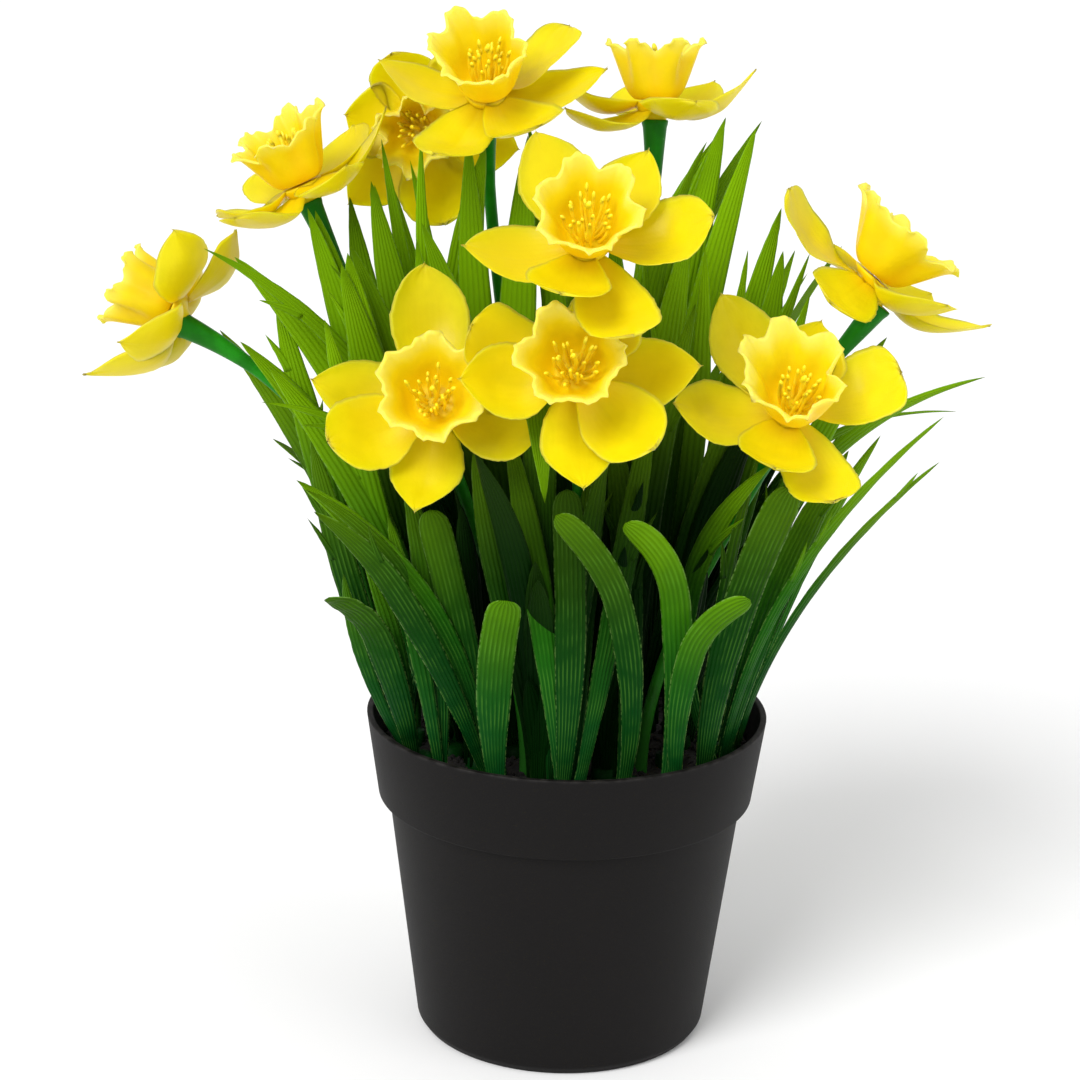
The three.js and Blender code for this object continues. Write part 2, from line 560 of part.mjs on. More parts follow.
function backSprays() {
  const draw = seededDraw(BACK.seed);
  const between = (a, b) => a + (b - a) * draw();
  return BACK.roots.map(([x, y]) => {
    const radius = Math.hypot(x, y);
    const heading = Math.atan2(y, x);
    const leaves = [];
    for (let i = 0; i < BACK.leaves; i += 1) {
      const share = (i + 0.5) / BACK.leaves - 0.5;
      const azimuth = heading + radians(BACK.fan * share + between(-6, 6));
      const reach = (BACK.nearLean + BACK.leanPerRadius * radius) * between(0.55, 1.1);
      const height = between(BACK.low, BACK.high) - 0.25 * reach;
      const at = (out, z) => [x + out * Math.cos(azimuth), y + out * Math.sin(azimuth), z];
      const bow = between(0.28, 0.42);
      leaves.push({
        via: at(reach * bow, BLOCK.top + (height - BLOCK.top) * 0.62),
        tip: at(reach, height),
        width: between(...BACK.widths),
      });
    }
    return { root: [x, y], leaves };
  });
}

// The scene

const potted = new THREE.Group();

function addMesh(parent, name, solid, colour, roughness) {
  const material = new THREE.MeshStandardMaterial({ color: colour, roughness, metalness: 0 });
  const mesh = new THREE.Mesh(toGeometry(solid), material);
  mesh.name = name;
  parent.add(mesh);
}

const label = (index) => String(index + 1).padStart(2, '0');
const sprays = [...SPRAYS, ...backSprays()];

addMesh(potted, 'pot', potSolid(), COLOURS.pot, 0.7);

const holes = [
  ...FLOWERS.map(({ root }) => ({ at: root, radius: BLOCK.stemHole, sides: STEM.sides })),
  ...sprays.map(({ root }) => ({ at: root, radius: CROWN.radius + BLOCK.crownGap, sides: CROWN.sides })),
];
addMesh(potted, 'potting_block', blockSolid(holes), COLOURS.block, 0.95);

FLOWERS.forEach((flower, i) => {
  const head = new THREE.Group();
  head.position.copy(vec(flower.heart));
  head.quaternion.copy(flowerTurn(flower));
  addMesh(head, `perianth_${label(i)}`, perianthSolid(flower), COLOURS.tepal, 0.45);
  addMesh(head, `trumpet_${label(i)}`, trumpetSolid(flower), COLOURS.trumpet, 0.45);
  potted.add(head);
  addMesh(potted, `stem_${label(i)}`, stemSolid(flower), COLOURS.stem, 0.4);
});

sprays.forEach((spray, i) => addMesh(potted, `spray_${label(i)}`, spraySolid(spray), COLOURS.leaf, 0.5));

export default potted;
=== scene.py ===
"""A potted daffodil of moulded plastic: ten trumpet flowers on green stems, among
sprays of ribbed leaves, in a black nursery pot. Lengths in the tables are in
millimetres. The pot's axis is Z, and the front looks along -Y."""

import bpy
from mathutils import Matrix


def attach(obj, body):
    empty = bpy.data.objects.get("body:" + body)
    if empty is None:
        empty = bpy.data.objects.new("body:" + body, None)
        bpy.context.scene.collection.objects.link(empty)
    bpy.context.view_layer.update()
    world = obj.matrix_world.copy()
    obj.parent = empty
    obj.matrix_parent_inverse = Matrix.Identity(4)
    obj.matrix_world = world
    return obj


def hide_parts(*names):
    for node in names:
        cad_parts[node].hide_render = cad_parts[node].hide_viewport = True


bl_info = {
    "name": "Potted Daffodil",
    "version": (1, 0, 0),
    "blender": (4, 5, 0),
    "location": "3D View > Sidebar > Daffodil",
    "description": "Builds a moulded daffodil arrangement in its nursery pot",
    "category": "Add Mesh",
}

import math
import random

import bmesh
import bpy
import numpy as np
from mathutils import Matrix, Vector

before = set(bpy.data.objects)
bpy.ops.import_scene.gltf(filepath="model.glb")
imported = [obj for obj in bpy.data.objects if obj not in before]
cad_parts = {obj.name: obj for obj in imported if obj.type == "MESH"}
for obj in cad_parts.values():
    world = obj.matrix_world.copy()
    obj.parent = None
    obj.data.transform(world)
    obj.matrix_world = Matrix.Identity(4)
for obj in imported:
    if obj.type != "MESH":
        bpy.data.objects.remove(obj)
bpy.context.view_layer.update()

MM = 0.001
MERGE = 0.000004  # metres: points nearer than this become one
BODY = "root"
SEEDS = {"heap": 5, "crumbs": 3, "stems": 40, "petals": 100, "trumpets": 700, "sprays": 19613,
         "fill": 400}

# The pot's and the block's measures, and the heights where stems and leaves start

POT = {"rim": 60.0, "height": 99.6, "ledge": 74.1, "ledge_radius": 56.3, "body_top": 53.3,
       "foot": 44.0, "foot_height": 2.4, "flat": 42.3, "wall": 1.9, "floor": 3.0}
MIX_GAP = 0.4
BLOCK_TOP = 88.0
STEM_FOOT = 76.0
CROWN_FOOT = 78
CROWN_TOP = 92.0
CROWN_RADIUS = 4.4
LEAF_FOOT = 89.6
CROWN_LEAF_OFFSET = 2.5

# Flowers: heart, the way it faces (azimuth and elevation), root in the block,
# mouth radius, phase and depth of its ruffle, how much the mouth's plane tilts
# and the trumpet leans, how late it flares, how high its stamens stand, where its
# neck meets the stem, and tepals (angle, length, lift, bow, roll, end), the outer
# three first. The bow hollows the face, and the roll turns it about its own length.

POINTED = {"widest": 0.48, "power": 1.8, "round": 0.85, "spike": 0.98}
WEDGE = {"widest": 0.56, "power": 2.0, "round": 0.75, "spike": 0.985}
ROUND = {"widest": 0.58, "power": 2.5, "round": 0.60, "spike": 1.0}
SQUARE = {"widest": 0.68, "power": 4.0, "round": 0.50, "spike": 0.99}
STRAIGHT_NECK = (0, 0, -7)
FLOWERS = [
    {"heart": (-115, 0, 220), "az": -98, "el": 22, "root": (-46, 12), "mouth": 10.0, "phase": 0.4,
     "ruffle": 1.1, "flare": 1.1, "neck": (1.3, -3.8, -5),
     "tepals": [(342, 28, 14, 3, 0, POINTED), (122, 29, -10, 4, -15, POINTED), (248, 25, 4, 3, 12, POINTED),
                (60, 30, 12, 3, -20, POINTED), (182, 32, 12, 3, 0, ROUND), (298, 33, 28, 6, 10, POINTED)]},
    {"heart": (-80, 12, 254), "az": -93, "el": 66, "root": (-26, 16), "mouth": 12.6, "phase": 1.1,
     "ruffle": 1.2, "tilt": (-2.8, 1.2), "flare": 1.2,
     "tepals": [(88, 34, 19, 2, 10, POINTED), (208, 32, 10, 2.5, 0, ROUND), (330, 32, 4, 4, 0, SQUARE),
                (38, 33, 4, 3.5, 0, POINTED), (148, 32, 12, 2.5, 0, ROUND), (278, 26, 4, 4, 0, SQUARE)]},
    {"heart": (-47, 39, 267), "az": -12, "el": 12, "root": (-16, 26), "mouth": 10.4, "phase": 2.0,
     "ruffle": 1.0, "tilt": (1, -2), "lean": (2.5, -4.0), "threads": 7.5,
     "tepals": [(229, 31, 8, 2, 0, POINTED), (108, 24, 20, 2, 0, ROUND), (350, 32, 8, 2, 0, POINTED),
                (172, 23, 10, 2, 0, POINTED), (290, 30, 10, 2, 0, ROUND), (50, 31, 10, 2, 0, ROUND)]},
    {"heart": (-27, 5, 283), "az": 0, "el": 58, "root": (-8, -4), "mouth": 12.6, "phase": 0.2,
     "ruffle": 0.7, "tilt": (0, 3.0), "lean": (-2.6, 0),
     "tepals": [(166, 32, 10, 2.5, 12, POINTED), (6, 35, 11, 2, -12, POINTED), (246, 35, 6, 2.5, 0, ROUND),
                (40, 31, 15, 2, -20, SQUARE), (108, 26, 4, 2, 0, ROUND), (304, 29, 14, 3, 0, SQUARE)]},
    {"heart": (22, 32, 277), "az": -176, "el": 80, "root": (12, 28), "mouth": 11.8, "phase": 0.9,
     "ruffle": 1.25, "flare": 1.2,
     "tepals": [(35, 34, -3, 5, 0, POINTED), (165, 31, 18, 3.5, 0, POINTED), (275, 31, 12, 3, 0, ROUND),
                (355, 28, 8, 3, 0, ROUND), (105, 29, -2, 3.5, 0, ROUND), (225, 30, 14, 3.5, 0, POINTED)]},
    {"heart": (2, -56, 252), "az": -3, "el": 49, "root": (2, -16), "mouth": 13.2, "phase": 1.6,
     "ruffle": 0.8, "tilt": (0, 2.6),
     "tepals": [(190, 34, 8, 2.5, 0, POINTED), (115, 36, 14, 2, 0, WEDGE), (291, 36, 6, 2.5, 0, SQUARE),
                (58, 31, 17, 2, -16, POINTED), (4, 34, 12, 2.5, 0, ROUND), (257, 33, 27, 2.5, 0, ROUND)]},
    {"heart": (85, 6, 232), "az": 93, "el": 52, "root": (24, 20), "mouth": 16.8, "phase": 0.6,
     "ruffle": 1.35, "tilt": (0, 0.8), "flare": 0.95, "neck": (0, -7.5, -7),
     "tepals": [(80, 35, 6, 2.5, -22, SQUARE), (160, 32, -20, 2, 0, SQUARE), (317, 33, 8, 3, 0, ROUND),
                (257, 37, 17, 5, 0, POINTED), (8, 30, -6, 2, 0, ROUND), (206, 33, 13, 3, 20, ROUND)]},
    {"heart": (-39, -42, 203), "az": -2, "el": 31, "root": (-12, -22), "mouth": 14.2, "phase": 2.6,
     "ruffle": 0.7,
     "tepals": [(172, 35, 8, 2.5, 0, POINTED), (266, 32, 6, 2, 0, POINTED), (30, 33, 8, 2, 0, POINTED),
                (95, 40, 8, 2.5, 0, WEDGE), (209, 32, 14, 2.5, 0, ROUND), (345, 31, 10, 2.5, 0, ROUND)]},
    {"heart": (-1, -57, 216), "az": -3, "el": 32, "root": (4, -32), "mouth": 13.6, "phase": 0.0,
     "ruffle": 0.7,
     "tepals": [(158, 31, 6, 2, 0, SQUARE), (276, 34, 8, 2.5, 0, POINTED), (4, 35, 8, 2.5, 0, POINTED),
                (192, 32, 16, 2.5, 0, POINTED), (314, 33, 14, 2.5, 0, ROUND), (60, 24, 10, 2, 0, ROUND)]},
    {"heart": (59, -46, 205), "az": 9, "el": 45, "root": (22, -22), "mouth": 13.4, "phase": 3.1,
     "ruffle": 0.9, "tilt": (0, 1.4), "lean": (-3.0, 3.2),
     "tepals": [(114, 38, 10, 2.5, 0, WEDGE), (180, 34, 8, 2.5, 0, WEDGE), (285, 32, 6, 2.5, 0, SQUARE),
                (246, 32, 26, 2.5, 0, ROUND), (9, 32, 14, 2.5, 0, SQUARE), (68, 27, 12, 2, 0, POINTED)]},
]

# Sprays of leaves: the root in the block, then a row for each leaf: x, y and z of
# a point that it passes and of its tip, its width, and the azimuth its blade looks
# along (None is its own lean). A curl of its last third and True for a blunt end
# follow where they apply.

FRONT = -90
NONE = (0, 0, 0)
SPRAYS = [
    ((-43, -20), [
        (-56, -42, 138, -69, -48, 148, 9.5, FRONT, (-6, 0, -8), True),
        (-60, -26, 124, -65, -30, 150, 5, -110), (-50, -32, 130, -60, -34, 160, 5, FRONT),
        (-64, -23, 145, -75, -20, 187, 9, -100)]),
    ((-34, -34), [
        (-44, -40, 136, -52, -38, 170, 6, FRONT), (-38, -37, 130, -48, -33, 182, 8, FRONT)]),
    ((-21, -31), [
        (-46, -44, 153, -77, -46, 182, 8, -75), (-51, -46, 160, -74, -52, 181, 5, -60, (-4, 0, -4)),
        (-46, -51, 147, -71, -60, 177, 8, -80, (-4, 0, -5)),
        (-32.3, -39, 140, -40.1, -41.8, 173, 10, FRONT, NONE, True)]),
    ((-20, -45), [
        (-21, -51, 127, -18, -58, 152, 11, FRONT, NONE, True)]),
    ((1, -47), [
        (-9, -47, 149, -19, -36, 196, 8.5, FRONT), (0, -50, 138, -2, -46, 181, 9.5, FRONT, NONE, True),
        (12, -44, 142, 22, -32, 205, 8, -75), (3.9, -36.4, 150, 7.7, -29, 200, 8, FRONT)]),
    ((18, -38), [
        (15, -53, 142, -5, -62, 178, 8.5, FRONT, (-7, 0, -2), True),
        (16.1, -34.2, 150, 9.3, -30.4, 200, 9, FRONT)]),
    ((30, -40), [
        (29, -50, 150, 14, -58, 175, 9, FRONT, (-9, 0, -6), True),
        (34, -53, 136, 49, -62, 155, 8, FRONT, (8, 0, -3), True)]),
    ((38, -30), [
        (47, -46, 146, 60, -50, 184, 11, -80, NONE, True), (45, -36, 158, 52.4, -32.3, 190, 4.5, -60)]),
    ((43, -21), [
        (61, -26, 150, 78, -24, 188, 10, -75), (65, -33, 154, 103, -34, 201, 6.5, -50),
        (37.5, -31.7, 160, 55.1, -40.6, 188, 7, -120)]),
    ((48, -8), [
        (70.2, -25.9, 147, 103.1, -30.6, 187, 6.5, -40), (74, -14, 164, 88, -14, 190, 7, -60),
        (83, -4, 188, 119, -2, 205, 7, -60)]),
    ((46, 9), [
        (85, 14, 186, 114, 16, 190, 4, -70), (76, 8, 190, 91, 8, 214, 8, -70),
        (74, 18, 170, 98, 24, 200, 8, None)]),
    ((34, 1), [
        (46.8, 9.1, 195, 59.1, 15.6, 250, 8, -80), (43, 3, 180, 49, 3, 240, 5, FRONT),
        (48, -3, 175, 66, -6, 241, 5, -70), (51, 2, 185, 59, 2, 240, 9, -85),
        (50, -7, 165, 66, -12, 230, 6, -80)]),
    ((-46, -1), [
        (-70, -16, 216, -104, -28, 243, 5, -70), (-70, -8, 205, -97, -14, 238, 9, -80),
        (-77, -8, 190, -86, -9, 226, 8, -95), (-80, 4, 180, -104, 8, 212, 7, -100)]),
    ((-34, -12), [
        (-76, -18, 194, -95, -20, 215, 8, -75), (-68, -28, 186, -86, -32, 211, 8.5, -75),
        (-70, -36, 198, -87, -42, 203, 3.5, -60), (-62, -28, 190, -70, -34, 225, 7, FRONT)]),
    ((-31, 2), [
        (-66, -4, 215, -77, -6, 251, 9, FRONT), (-55.3, -17.4, 190, -64.3, -24.8, 242, 11, FRONT),
        (-51, -14, 205, -64, -18, 243, 9, -95)]),
    ((-20, 7), [
        (-50, -4, 215, -59, -6, 259, 10, -85), (-50, 6, 232, -57, 8, 269, 5, -100),
        (-60, 4, 220, -66, 8, 252, 9, FRONT)]),
    ((-15, -11), [
        (-32, -14, 215, -44, -20, 250, 9, FRONT), (-42, -6, 215, -46, -7, 243, 7, -100),
        (-30, -13, 175, -40, -18, 222, 9, FRONT)]),
    ((-6, 10), [
        (-30, 6, 232, -32, 8, 270, 9, FRONT), (-8, 10, 235, -15, 8, 274, 7, -80),
        (-44, -1, 235, -45, -3, 272, 5, -80), (-2, 26, 190, -4, 40, 240, 9, None)]),
    ((12, 12), [
        (19, 9, 195, 36, 2, 271, 7, -60, (9, -2, -5)), (30, 12, 235, 42, 16, 276, 9, -80),
        (35, 19, 240, 53, 24, 274, 7, -70), (13.6, 22.1, 190, 10.9, 36, 240, 9, None),
        (8, 10, 170, 2, 8, 225, 9, FRONT)]),
    ((17, -12), [
        (36, -7, 205, 36, -7, 242, 6, FRONT), (25, -12, 205, 31, -13, 248, 10, -80),
        (27, -20, 200, 33, -26, 230, 7, FRONT), (40, -22, 180, 48, -28, 212, 8, -75),
        (18, -8, 165, 17, -2, 218, 9, FRONT)]),
]

# More leaves of the front, between those sprays

BETWEEN = [
    ((-13, 2), [
        (-17, 2, 220, -15, 6, 271, 10, FRONT), (-34, 10, 215, -27, 8, 268, 11, FRONT),
        (-38, 2, 215, -45, 0, 245, 7, FRONT)]),
    ((24, 16), [
        (26, 22, 240, 42, 20, 272, 10, -80, (4, 0, -3)), (33, 8, 235, 41, 6, 277, 10, -80),
        (40, 6, 235, 50, 4, 275, 9, -80)]),
    ((-28, -2), [
        (-51, -2, 215, -58, -6, 258, 8, -85), (-64, 0, 210, -75, -4, 250, 10, -95),
        (-56, -20, 200, -66, -26, 239, 11, -85), (-49, 15, 235, -57, 16, 261, 5, FRONT),
        (-43, 14, 235, -49, 14, 262, 5, FRONT)]),
    ((-3, -38), [
        (-10, -51, 204, -8, -61, 181, 11, FRONT), (-22, -42, 160, -28, -48, 192, 8, FRONT),
        (4, -46, 160, 9, -48, 196, 7, FRONT)]),
]

# The back, which the front hides: sprays by a rule, leaning outwards

BACK = {"roots": [(-39, 25), (-20, 42), (2, 48), (24, 41), (38, 29), (-2, 29)], "leaves": 4,
        "fan": 80, "near_lean": 14, "lean_per_radius": 0.95, "low": 150, "high": 250,
        "widths": (6, 10), "seed": 12}

# More sprays that fill the thicket between the others, coloured almost black as painted shade in its gaps

FILL = {"roots": [(-26, -21), (-8, -37), (11, -28), (30, -16), (3, -3), (-8, 20), (33, 13), (-32, 12)],
        "leaves": 10, "low": 120, "high": 205, "spread": 125, "widths": (6, 10), "seed": 31}


def length(name, description, default, low, high):
    return bpy.props.FloatProperty(
        name=name, description=description, unit="LENGTH", default=default, min=low, max=high, precision=5)


def number(name, description, default, high, subtype="NONE"):
    return bpy.props.FloatProperty(
        name=name, description=description, subtype=subtype, default=default, min=0, max=high)


def paint(name, description, *default):
    return bpy.props.FloatVectorProperty(
        name=name, description=description, subtype="COLOR", size=3, default=default, min=0, max=1)


class PotSettings(bpy.types.PropertyGroup):
    colour: paint("Plastic", "Colour of the pot", 0.0042, 0.0035, 0.0034)
    grain: length("Grain", "Depth of the moulded grain", 0.00004, 0, 0.001)
    filling: paint("Filling", "Colour of the potting mix", 0.0040, 0.0028, 0.0020)
    crumb: length("Crumb size", "Size of the mix's largest crumbs", 0.0032, 0.0005, 0.01)


class FlowerSettings(bpy.types.PropertyGroup):
    petal_width: length("Petal width", "Widest width of a petal", 0.0218, 0.01, 0.04)
    petal_thickness: length("Petal thickness", "Thickness of a petal's middle", 0.00105, 0.0003, 0.003)
    frill: number("Frill", "How deeply the trumpet's edge is ruffled", 1.0, 2, "FACTOR")
    stamens: bpy.props.IntProperty(
        name="Stamens", description="Stamens in each trumpet", default=20, min=3, max=30)
    petal_colour: paint("Petals", "Colour of the petals", 0.75, 0.60, 0.002)
    trumpet_colour: paint("Trumpets", "Colour of the trumpets", 0.86, 0.63, 0.005)
    throat_colour: paint("Throats", "Colour deep in a trumpet and at its foot", 1.0, 0.73, 0.003)


class StemSettings(bpy.types.PropertyGroup):
    radius: length("Radius", "Radius of the slim part", 0.0018, 0.0008, 0.004)
    socket_radius: length("Socket radius", "Radius of the socket under a flower", 0.0037, 0.002, 0.006)
    colour: paint("Stems", "Colour of the stems", 0.010, 0.190, 0.004)


class LeafSettings(bpy.types.PropertyGroup):
    thickness: length("Thickness", "Thickness of a blade's middle", 0.0008, 0.0003, 0.002)
    rib_depth: length("Rib depth", "Depth of the grooves along a blade", 0.00019, 0, 0.001)
    flash: length("Edge flash", "How ragged a blade's edge is", 0.00050, 0, 0.001)
    foot_colour: paint("Foot", "Colour at the foot of a leaf", 0.0012, 0.046, 0.0095)
    blade_colour: paint("Blade", "Colour of the middle of a leaf", 0.010, 0.083, 0.0006)
    tip_colour: paint("Tip", "Colour of a leaf's end", 0.195, 0.395, 0.0010)


class StageSettings(bpy.types.PropertyGroup):
    floor_colour: paint("Floor", "Colour of the floor", 0.93, 0.93, 0.93)
    key: number("Key light", "Strength of the broad light from the front left", 2.45, 20)
    fill: number("Fill light", "Power of the light at the front right", 5, 500)
    sky: number("Room light", "Strength of the light from all round", 0.68, 5)


# Node trees


def maths(operation, swapped=False):
    """A method that adds one Math node."""
    def method(sock, *others):
        values = (*others, sock) if swapped else (sock, *others)
        return sock.nodes.add("ShaderNodeMath", values, operation=operation)
    return method


class Sock:
    """A node's output. Arithmetic on it adds Math nodes."""

    __add__ = __radd__ = maths("ADD")
    __sub__, __rsub__ = maths("SUBTRACT"), maths("SUBTRACT", swapped=True)
    __mul__ = __rmul__ = maths("MULTIPLY")
    __mod__, __pow__, __gt__ = maths("MODULO"), maths("POWER"), maths("GREATER_THAN")
    cosine, arcsine, heading = maths("COSINE"), maths("ARCSINE"), maths("ARCTAN2")
    size, sign = maths("ABSOLUTE"), maths("SIGN")

    def __init__(self, nodes, socket):
        self.nodes, self.socket = nodes, socket

    def out(self, name):
        return Sock(self.nodes, self.socket.node.outputs[name])

    def rising(self, low, high):
        """0 at low and 1 at high, smooth between them. It falls if low is the larger."""
        return self.nodes.add(
            "ShaderNodeMapRange", {"Value": self, "From Min": low, "From Max": high},
            interpolation_type="SMOOTHSTEP")


class Nodes:
    """Adds nodes to one tree."""

    def __init__(self, tree):
        self.tree = tree
        tree.nodes.clear()

    def add(self, kind, values=(), out=0, **settings):
        """A node with its settings set first, then its inputs' values and links."""
        node = self.tree.nodes.new(kind)
        for name, value in settings.items():
            setattr(node, name, value)
        for key, value in values.items() if isinstance(values, dict) else enumerate(values):
            if isinstance(value, Sock):
                self.tree.links.new(value.socket, node.inputs[key])
            else:
                node.inputs[key].default_value = value
        return Sock(self, node.outputs[out]) if node.outputs else None

    def join(self, *parts):
        both = self.add("GeometryNodeJoinGeometry")
        for part in parts:
            self.tree.links.new(part.socket, both.socket.node.inputs[0])
        return both

    def axes(self, vector):
        x = self.add("ShaderNodeSeparateXYZ", [vector])
        return x, x.out("Y"), x.out("Z")

    def sum(self, a, b):
        return self.add("ShaderNodeVectorMath", [a, b], operation="ADD")

    def scaled(self, vector, factor):
        return self.add("ShaderNodeVectorMath", {0: vector, "Scale": factor}, operation="SCALE")

    def mix(self, factor, a, b):
        """Mixes colours. Inputs 6 and 7 and output 2 are the node's colour sockets."""
        a, b = (colour if isinstance(colour, Sock) else rgba(colour) for colour in (a, b))
        return self.add("ShaderNodeMix", {0: factor, 6: a, 7: b}, 2, data_type="RGBA")

    def mottled(self, share, colour, dark, light):
        """A colour that goes from a darker to a lighter shade of itself."""
        return self.mix(share, shade(colour, dark), shade(colour, light))

    def noise(self, scale, detail, vector):
        return self.add("ShaderNodeTexNoise", {"Vector": vector, "Scale": scale, "Detail": detail})

    def bumped(self, height, distance):
        return self.add("ShaderNodeBump", {"Strength": 1.0, "Distance": distance, "Height": height})

    def attribute(self, name):
        """A number kept on the mesh, in a material."""
        return self.add("ShaderNodeAttribute", (), "Fac", attribute_name=name)

    def kept(self, name, kind="FLOAT"):
        """A value kept on the points, in a geometry tree."""
        return self.add("GeometryNodeInputNamedAttribute", {"Name": name}, data_type=kind)

    def drawn(self, seed, low, high):
        """A random number, or vector, for each point. The node's first sockets are
        the vector's, and the next the number's."""
        first, kind = (0, "FLOAT_VECTOR") if isinstance(low, tuple) else (2, "FLOAT")
        return self.add("FunctionNodeRandomValue", {
            first: low, first + 1: high, "Seed": seed}, first // 2, data_type=kind)

    def position(self):
        return self.add("GeometryNodeInputPosition")

    def circle(self, count, radius):
        return self.add(
            "GeometryNodeCurvePrimitiveCircle", {"Resolution": count, "Radius": radius}, mode="RADIUS")


def shade(colour, factor):
    return tuple(min(part * factor, 1.0) for part in colour)


def rgba(colour):
    return (*colour, 1.0)


def material_nodes(name):
    """A new material, its nodes, and the place on the object that it colours."""
    material = bpy.data.materials.new(name)
    material.use_nodes = True
    nodes = Nodes(material.node_tree)
    return material, nodes, nodes.add("ShaderNodeTexCoord").out("Object")


def close_material(nodes, **values):
    """The shader and the output of a material. Names of sockets use _ for a space."""
    shader = nodes.add(
        "ShaderNodeBsdfPrincipled", {key.replace("_", " "): value for key, value in values.items()})
    nodes.add("ShaderNodeOutputMaterial", {"Surface": shader})


def geometry_tree(name, **sockets):
    """A tree whose named inputs are its sizes, and the nodes for filling it."""
    tree = bpy.data.node_groups.new(name, "GeometryNodeTree")
    tree.interface.new_socket("Geometry", in_out="OUTPUT", socket_type="NodeSocketGeometry")
    for label, kind in {"Geometry": "Geometry", **sockets, "Material": "Material"}.items():
        tree.interface.new_socket(
            label.replace("_", " "), in_out="INPUT", socket_type="NodeSocket" + kind)
    nodes = Nodes(tree)
    return tree, nodes, nodes.add("NodeGroupInput")


def close_tree(nodes, geometry, given):
    """Makes instances real, sets the material and ends the tree."""
    real = nodes.add("GeometryNodeRealizeInstances", [geometry])
    smooth = nodes.add("GeometryNodeSetShadeSmooth", [real])
    painted = nodes.add(
        "GeometryNodeSetMaterial", {"Geometry": smooth, "Material": given.out("Material")})
    nodes.add("NodeGroupOutput", [painted])


def run_tree(piece, tree, values):
    """Runs a tree on a piece and keeps the result as the piece's own plain mesh."""
    modifier = piece.modifiers.new(tree.name, "NODES")
    modifier.node_group = tree
    for item in tree.interface.items_tree:
        if item.in_out == "INPUT" and item.name in values:
            modifier[item.identifier] = values[item.name]
    piece.update_tag()
    graph = bpy.context.evaluated_depsgraph_get()
    made = bpy.data.meshes.new_from_object(
        piece.evaluated_get(graph), preserve_all_data_layers=True, depsgraph=graph)
    piece.modifiers.remove(modifier)
    made.materials.clear()
    made.materials.append(values["Material"])
    made.polygons.foreach_set("material_index", np.zeros(len(made.polygons), np.int32))
    piece.data = made
    made.name = piece.name


# Meshes


def keep(mesh, name, values):
    """Numbers, or vectors, on a mesh's points."""
    kind, field = ("FLOAT", "value") if values.ndim == 1 else ("FLOAT_VECTOR", "vector")
    layer = mesh.attributes.new(name, kind, "POINT")
    layer.data.foreach_set(field, values.astype(np.float32).ravel())


def closed_mesh(name, patches, material=None):
    """One mesh of patches: grids of points in millimetres that close round in each
    row, with numbers kept on them. Rows that meet in a point are merged, and faces
    point outwards."""
    points, faces, kept = [], [], {}
    for grid, numbers in patches:
        rows, columns = grid.shape[:2]
        start = sum(len(p) for p in points)
        points.append(grid.reshape(-1, 3))
        for key in ("reach", "across", "tone"):
            value = np.broadcast_to(numbers.get(key, 0.0), (rows, columns))
            kept.setdefault(key, []).append(value.ravel())
        i, j = np.meshgrid(np.arange(rows - 1), np.arange(columns), indexing="ij")
        a = (start + i * columns + j).ravel()
        b = (start + i * columns + (j + 1) % columns).ravel()
        faces.append(np.stack([a, b, b + columns, a + columns], axis=1))
    mesh = bpy.data.meshes.new(name)
    mesh.from_pydata((np.concatenate(points) * MM).tolist(), [], np.concatenate(faces).tolist())
    for key, values in kept.items():
        keep(mesh, key, np.concatenate(values))
    shape = bmesh.new()
    shape.from_mesh(mesh)
    bmesh.ops.remove_doubles(shape, verts=shape.verts, dist=MERGE)
    bmesh.ops.recalc_face_normals(shape, faces=shape.faces)
    shape.to_mesh(mesh)
    shape.free()
    mesh.polygons.foreach_set("use_smooth", np.ones(len(mesh.polygons), bool))
    if material:
        mesh.materials.append(material)
    return mesh


def new_piece(name, mesh):
    piece = bpy.data.objects.new(name, mesh)
    bpy.context.scene.collection.objects.link(piece)
    return piece


def settle(piece, slot, *nodes):
    """The piece rides with the arrangement, in place of the solids."""
    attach(piece, BODY)
    if nodes:
        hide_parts(*nodes)


def chain_mesh(name, chains):
    """Chains of points in millimetres, joined by edges, with what they carry."""
    points = np.concatenate([chain["points"] for chain in chains])
    mesh = bpy.data.meshes.new(name)
    edges, start = [], 0
    for chain in chains:
        count = len(chain["points"])
        edges += [(start + i, start + i + 1) for i in range(count - 1)]
        start += count
    mesh.from_pydata((points * MM).tolist(), edges, [])
    for key in chains[0]:
        if key != "points":
            keep(mesh, key, np.concatenate([np.atleast_1d(chain[key]) * np.ones(
                (len(chain["points"]),) + np.shape(chain[key])[1:]) for chain in chains]))
    return mesh


def unit(v):
    return v / np.linalg.norm(v, axis=-1, keepdims=True)


def circle(count):
    return np.linspace(0, 2 * math.pi, count, endpoint=False)


def rings(radius, turn, z, x=0, y=0):
    """Points round upright circles about x and y."""
    parts = np.broadcast_arrays(radius * np.cos(turn) + x, radius * np.sin(turn) + y, z)
    return np.stack(parts, axis=-1)


def lathe_grid(profile, sides):
    radius, z = np.array(profile, float).T[:, :, None]
    return rings(radius, circle(sides), z)


def rounded(profile, radius, steps=4):
    """A profile whose inner corners are cut to arcs of about that radius."""
    points = [np.array(p, float) for p in profile]
    made = [points[0]]
    for before, corner, after in zip(points, points[1:], points[2:]):
        near = min(radius, 0.45 * np.linalg.norm(corner - before))
        far = min(radius, 0.45 * np.linalg.norm(after - corner))
        a = corner + unit(before - corner) * near
        b = corner + unit(after - corner) * far
        for t in np.linspace(0, 1, steps + 1):
            made.append((1 - t) ** 2 * a + 2 * t * (1 - t) * corner + t ** 2 * b)
    return made + [points[-1]]


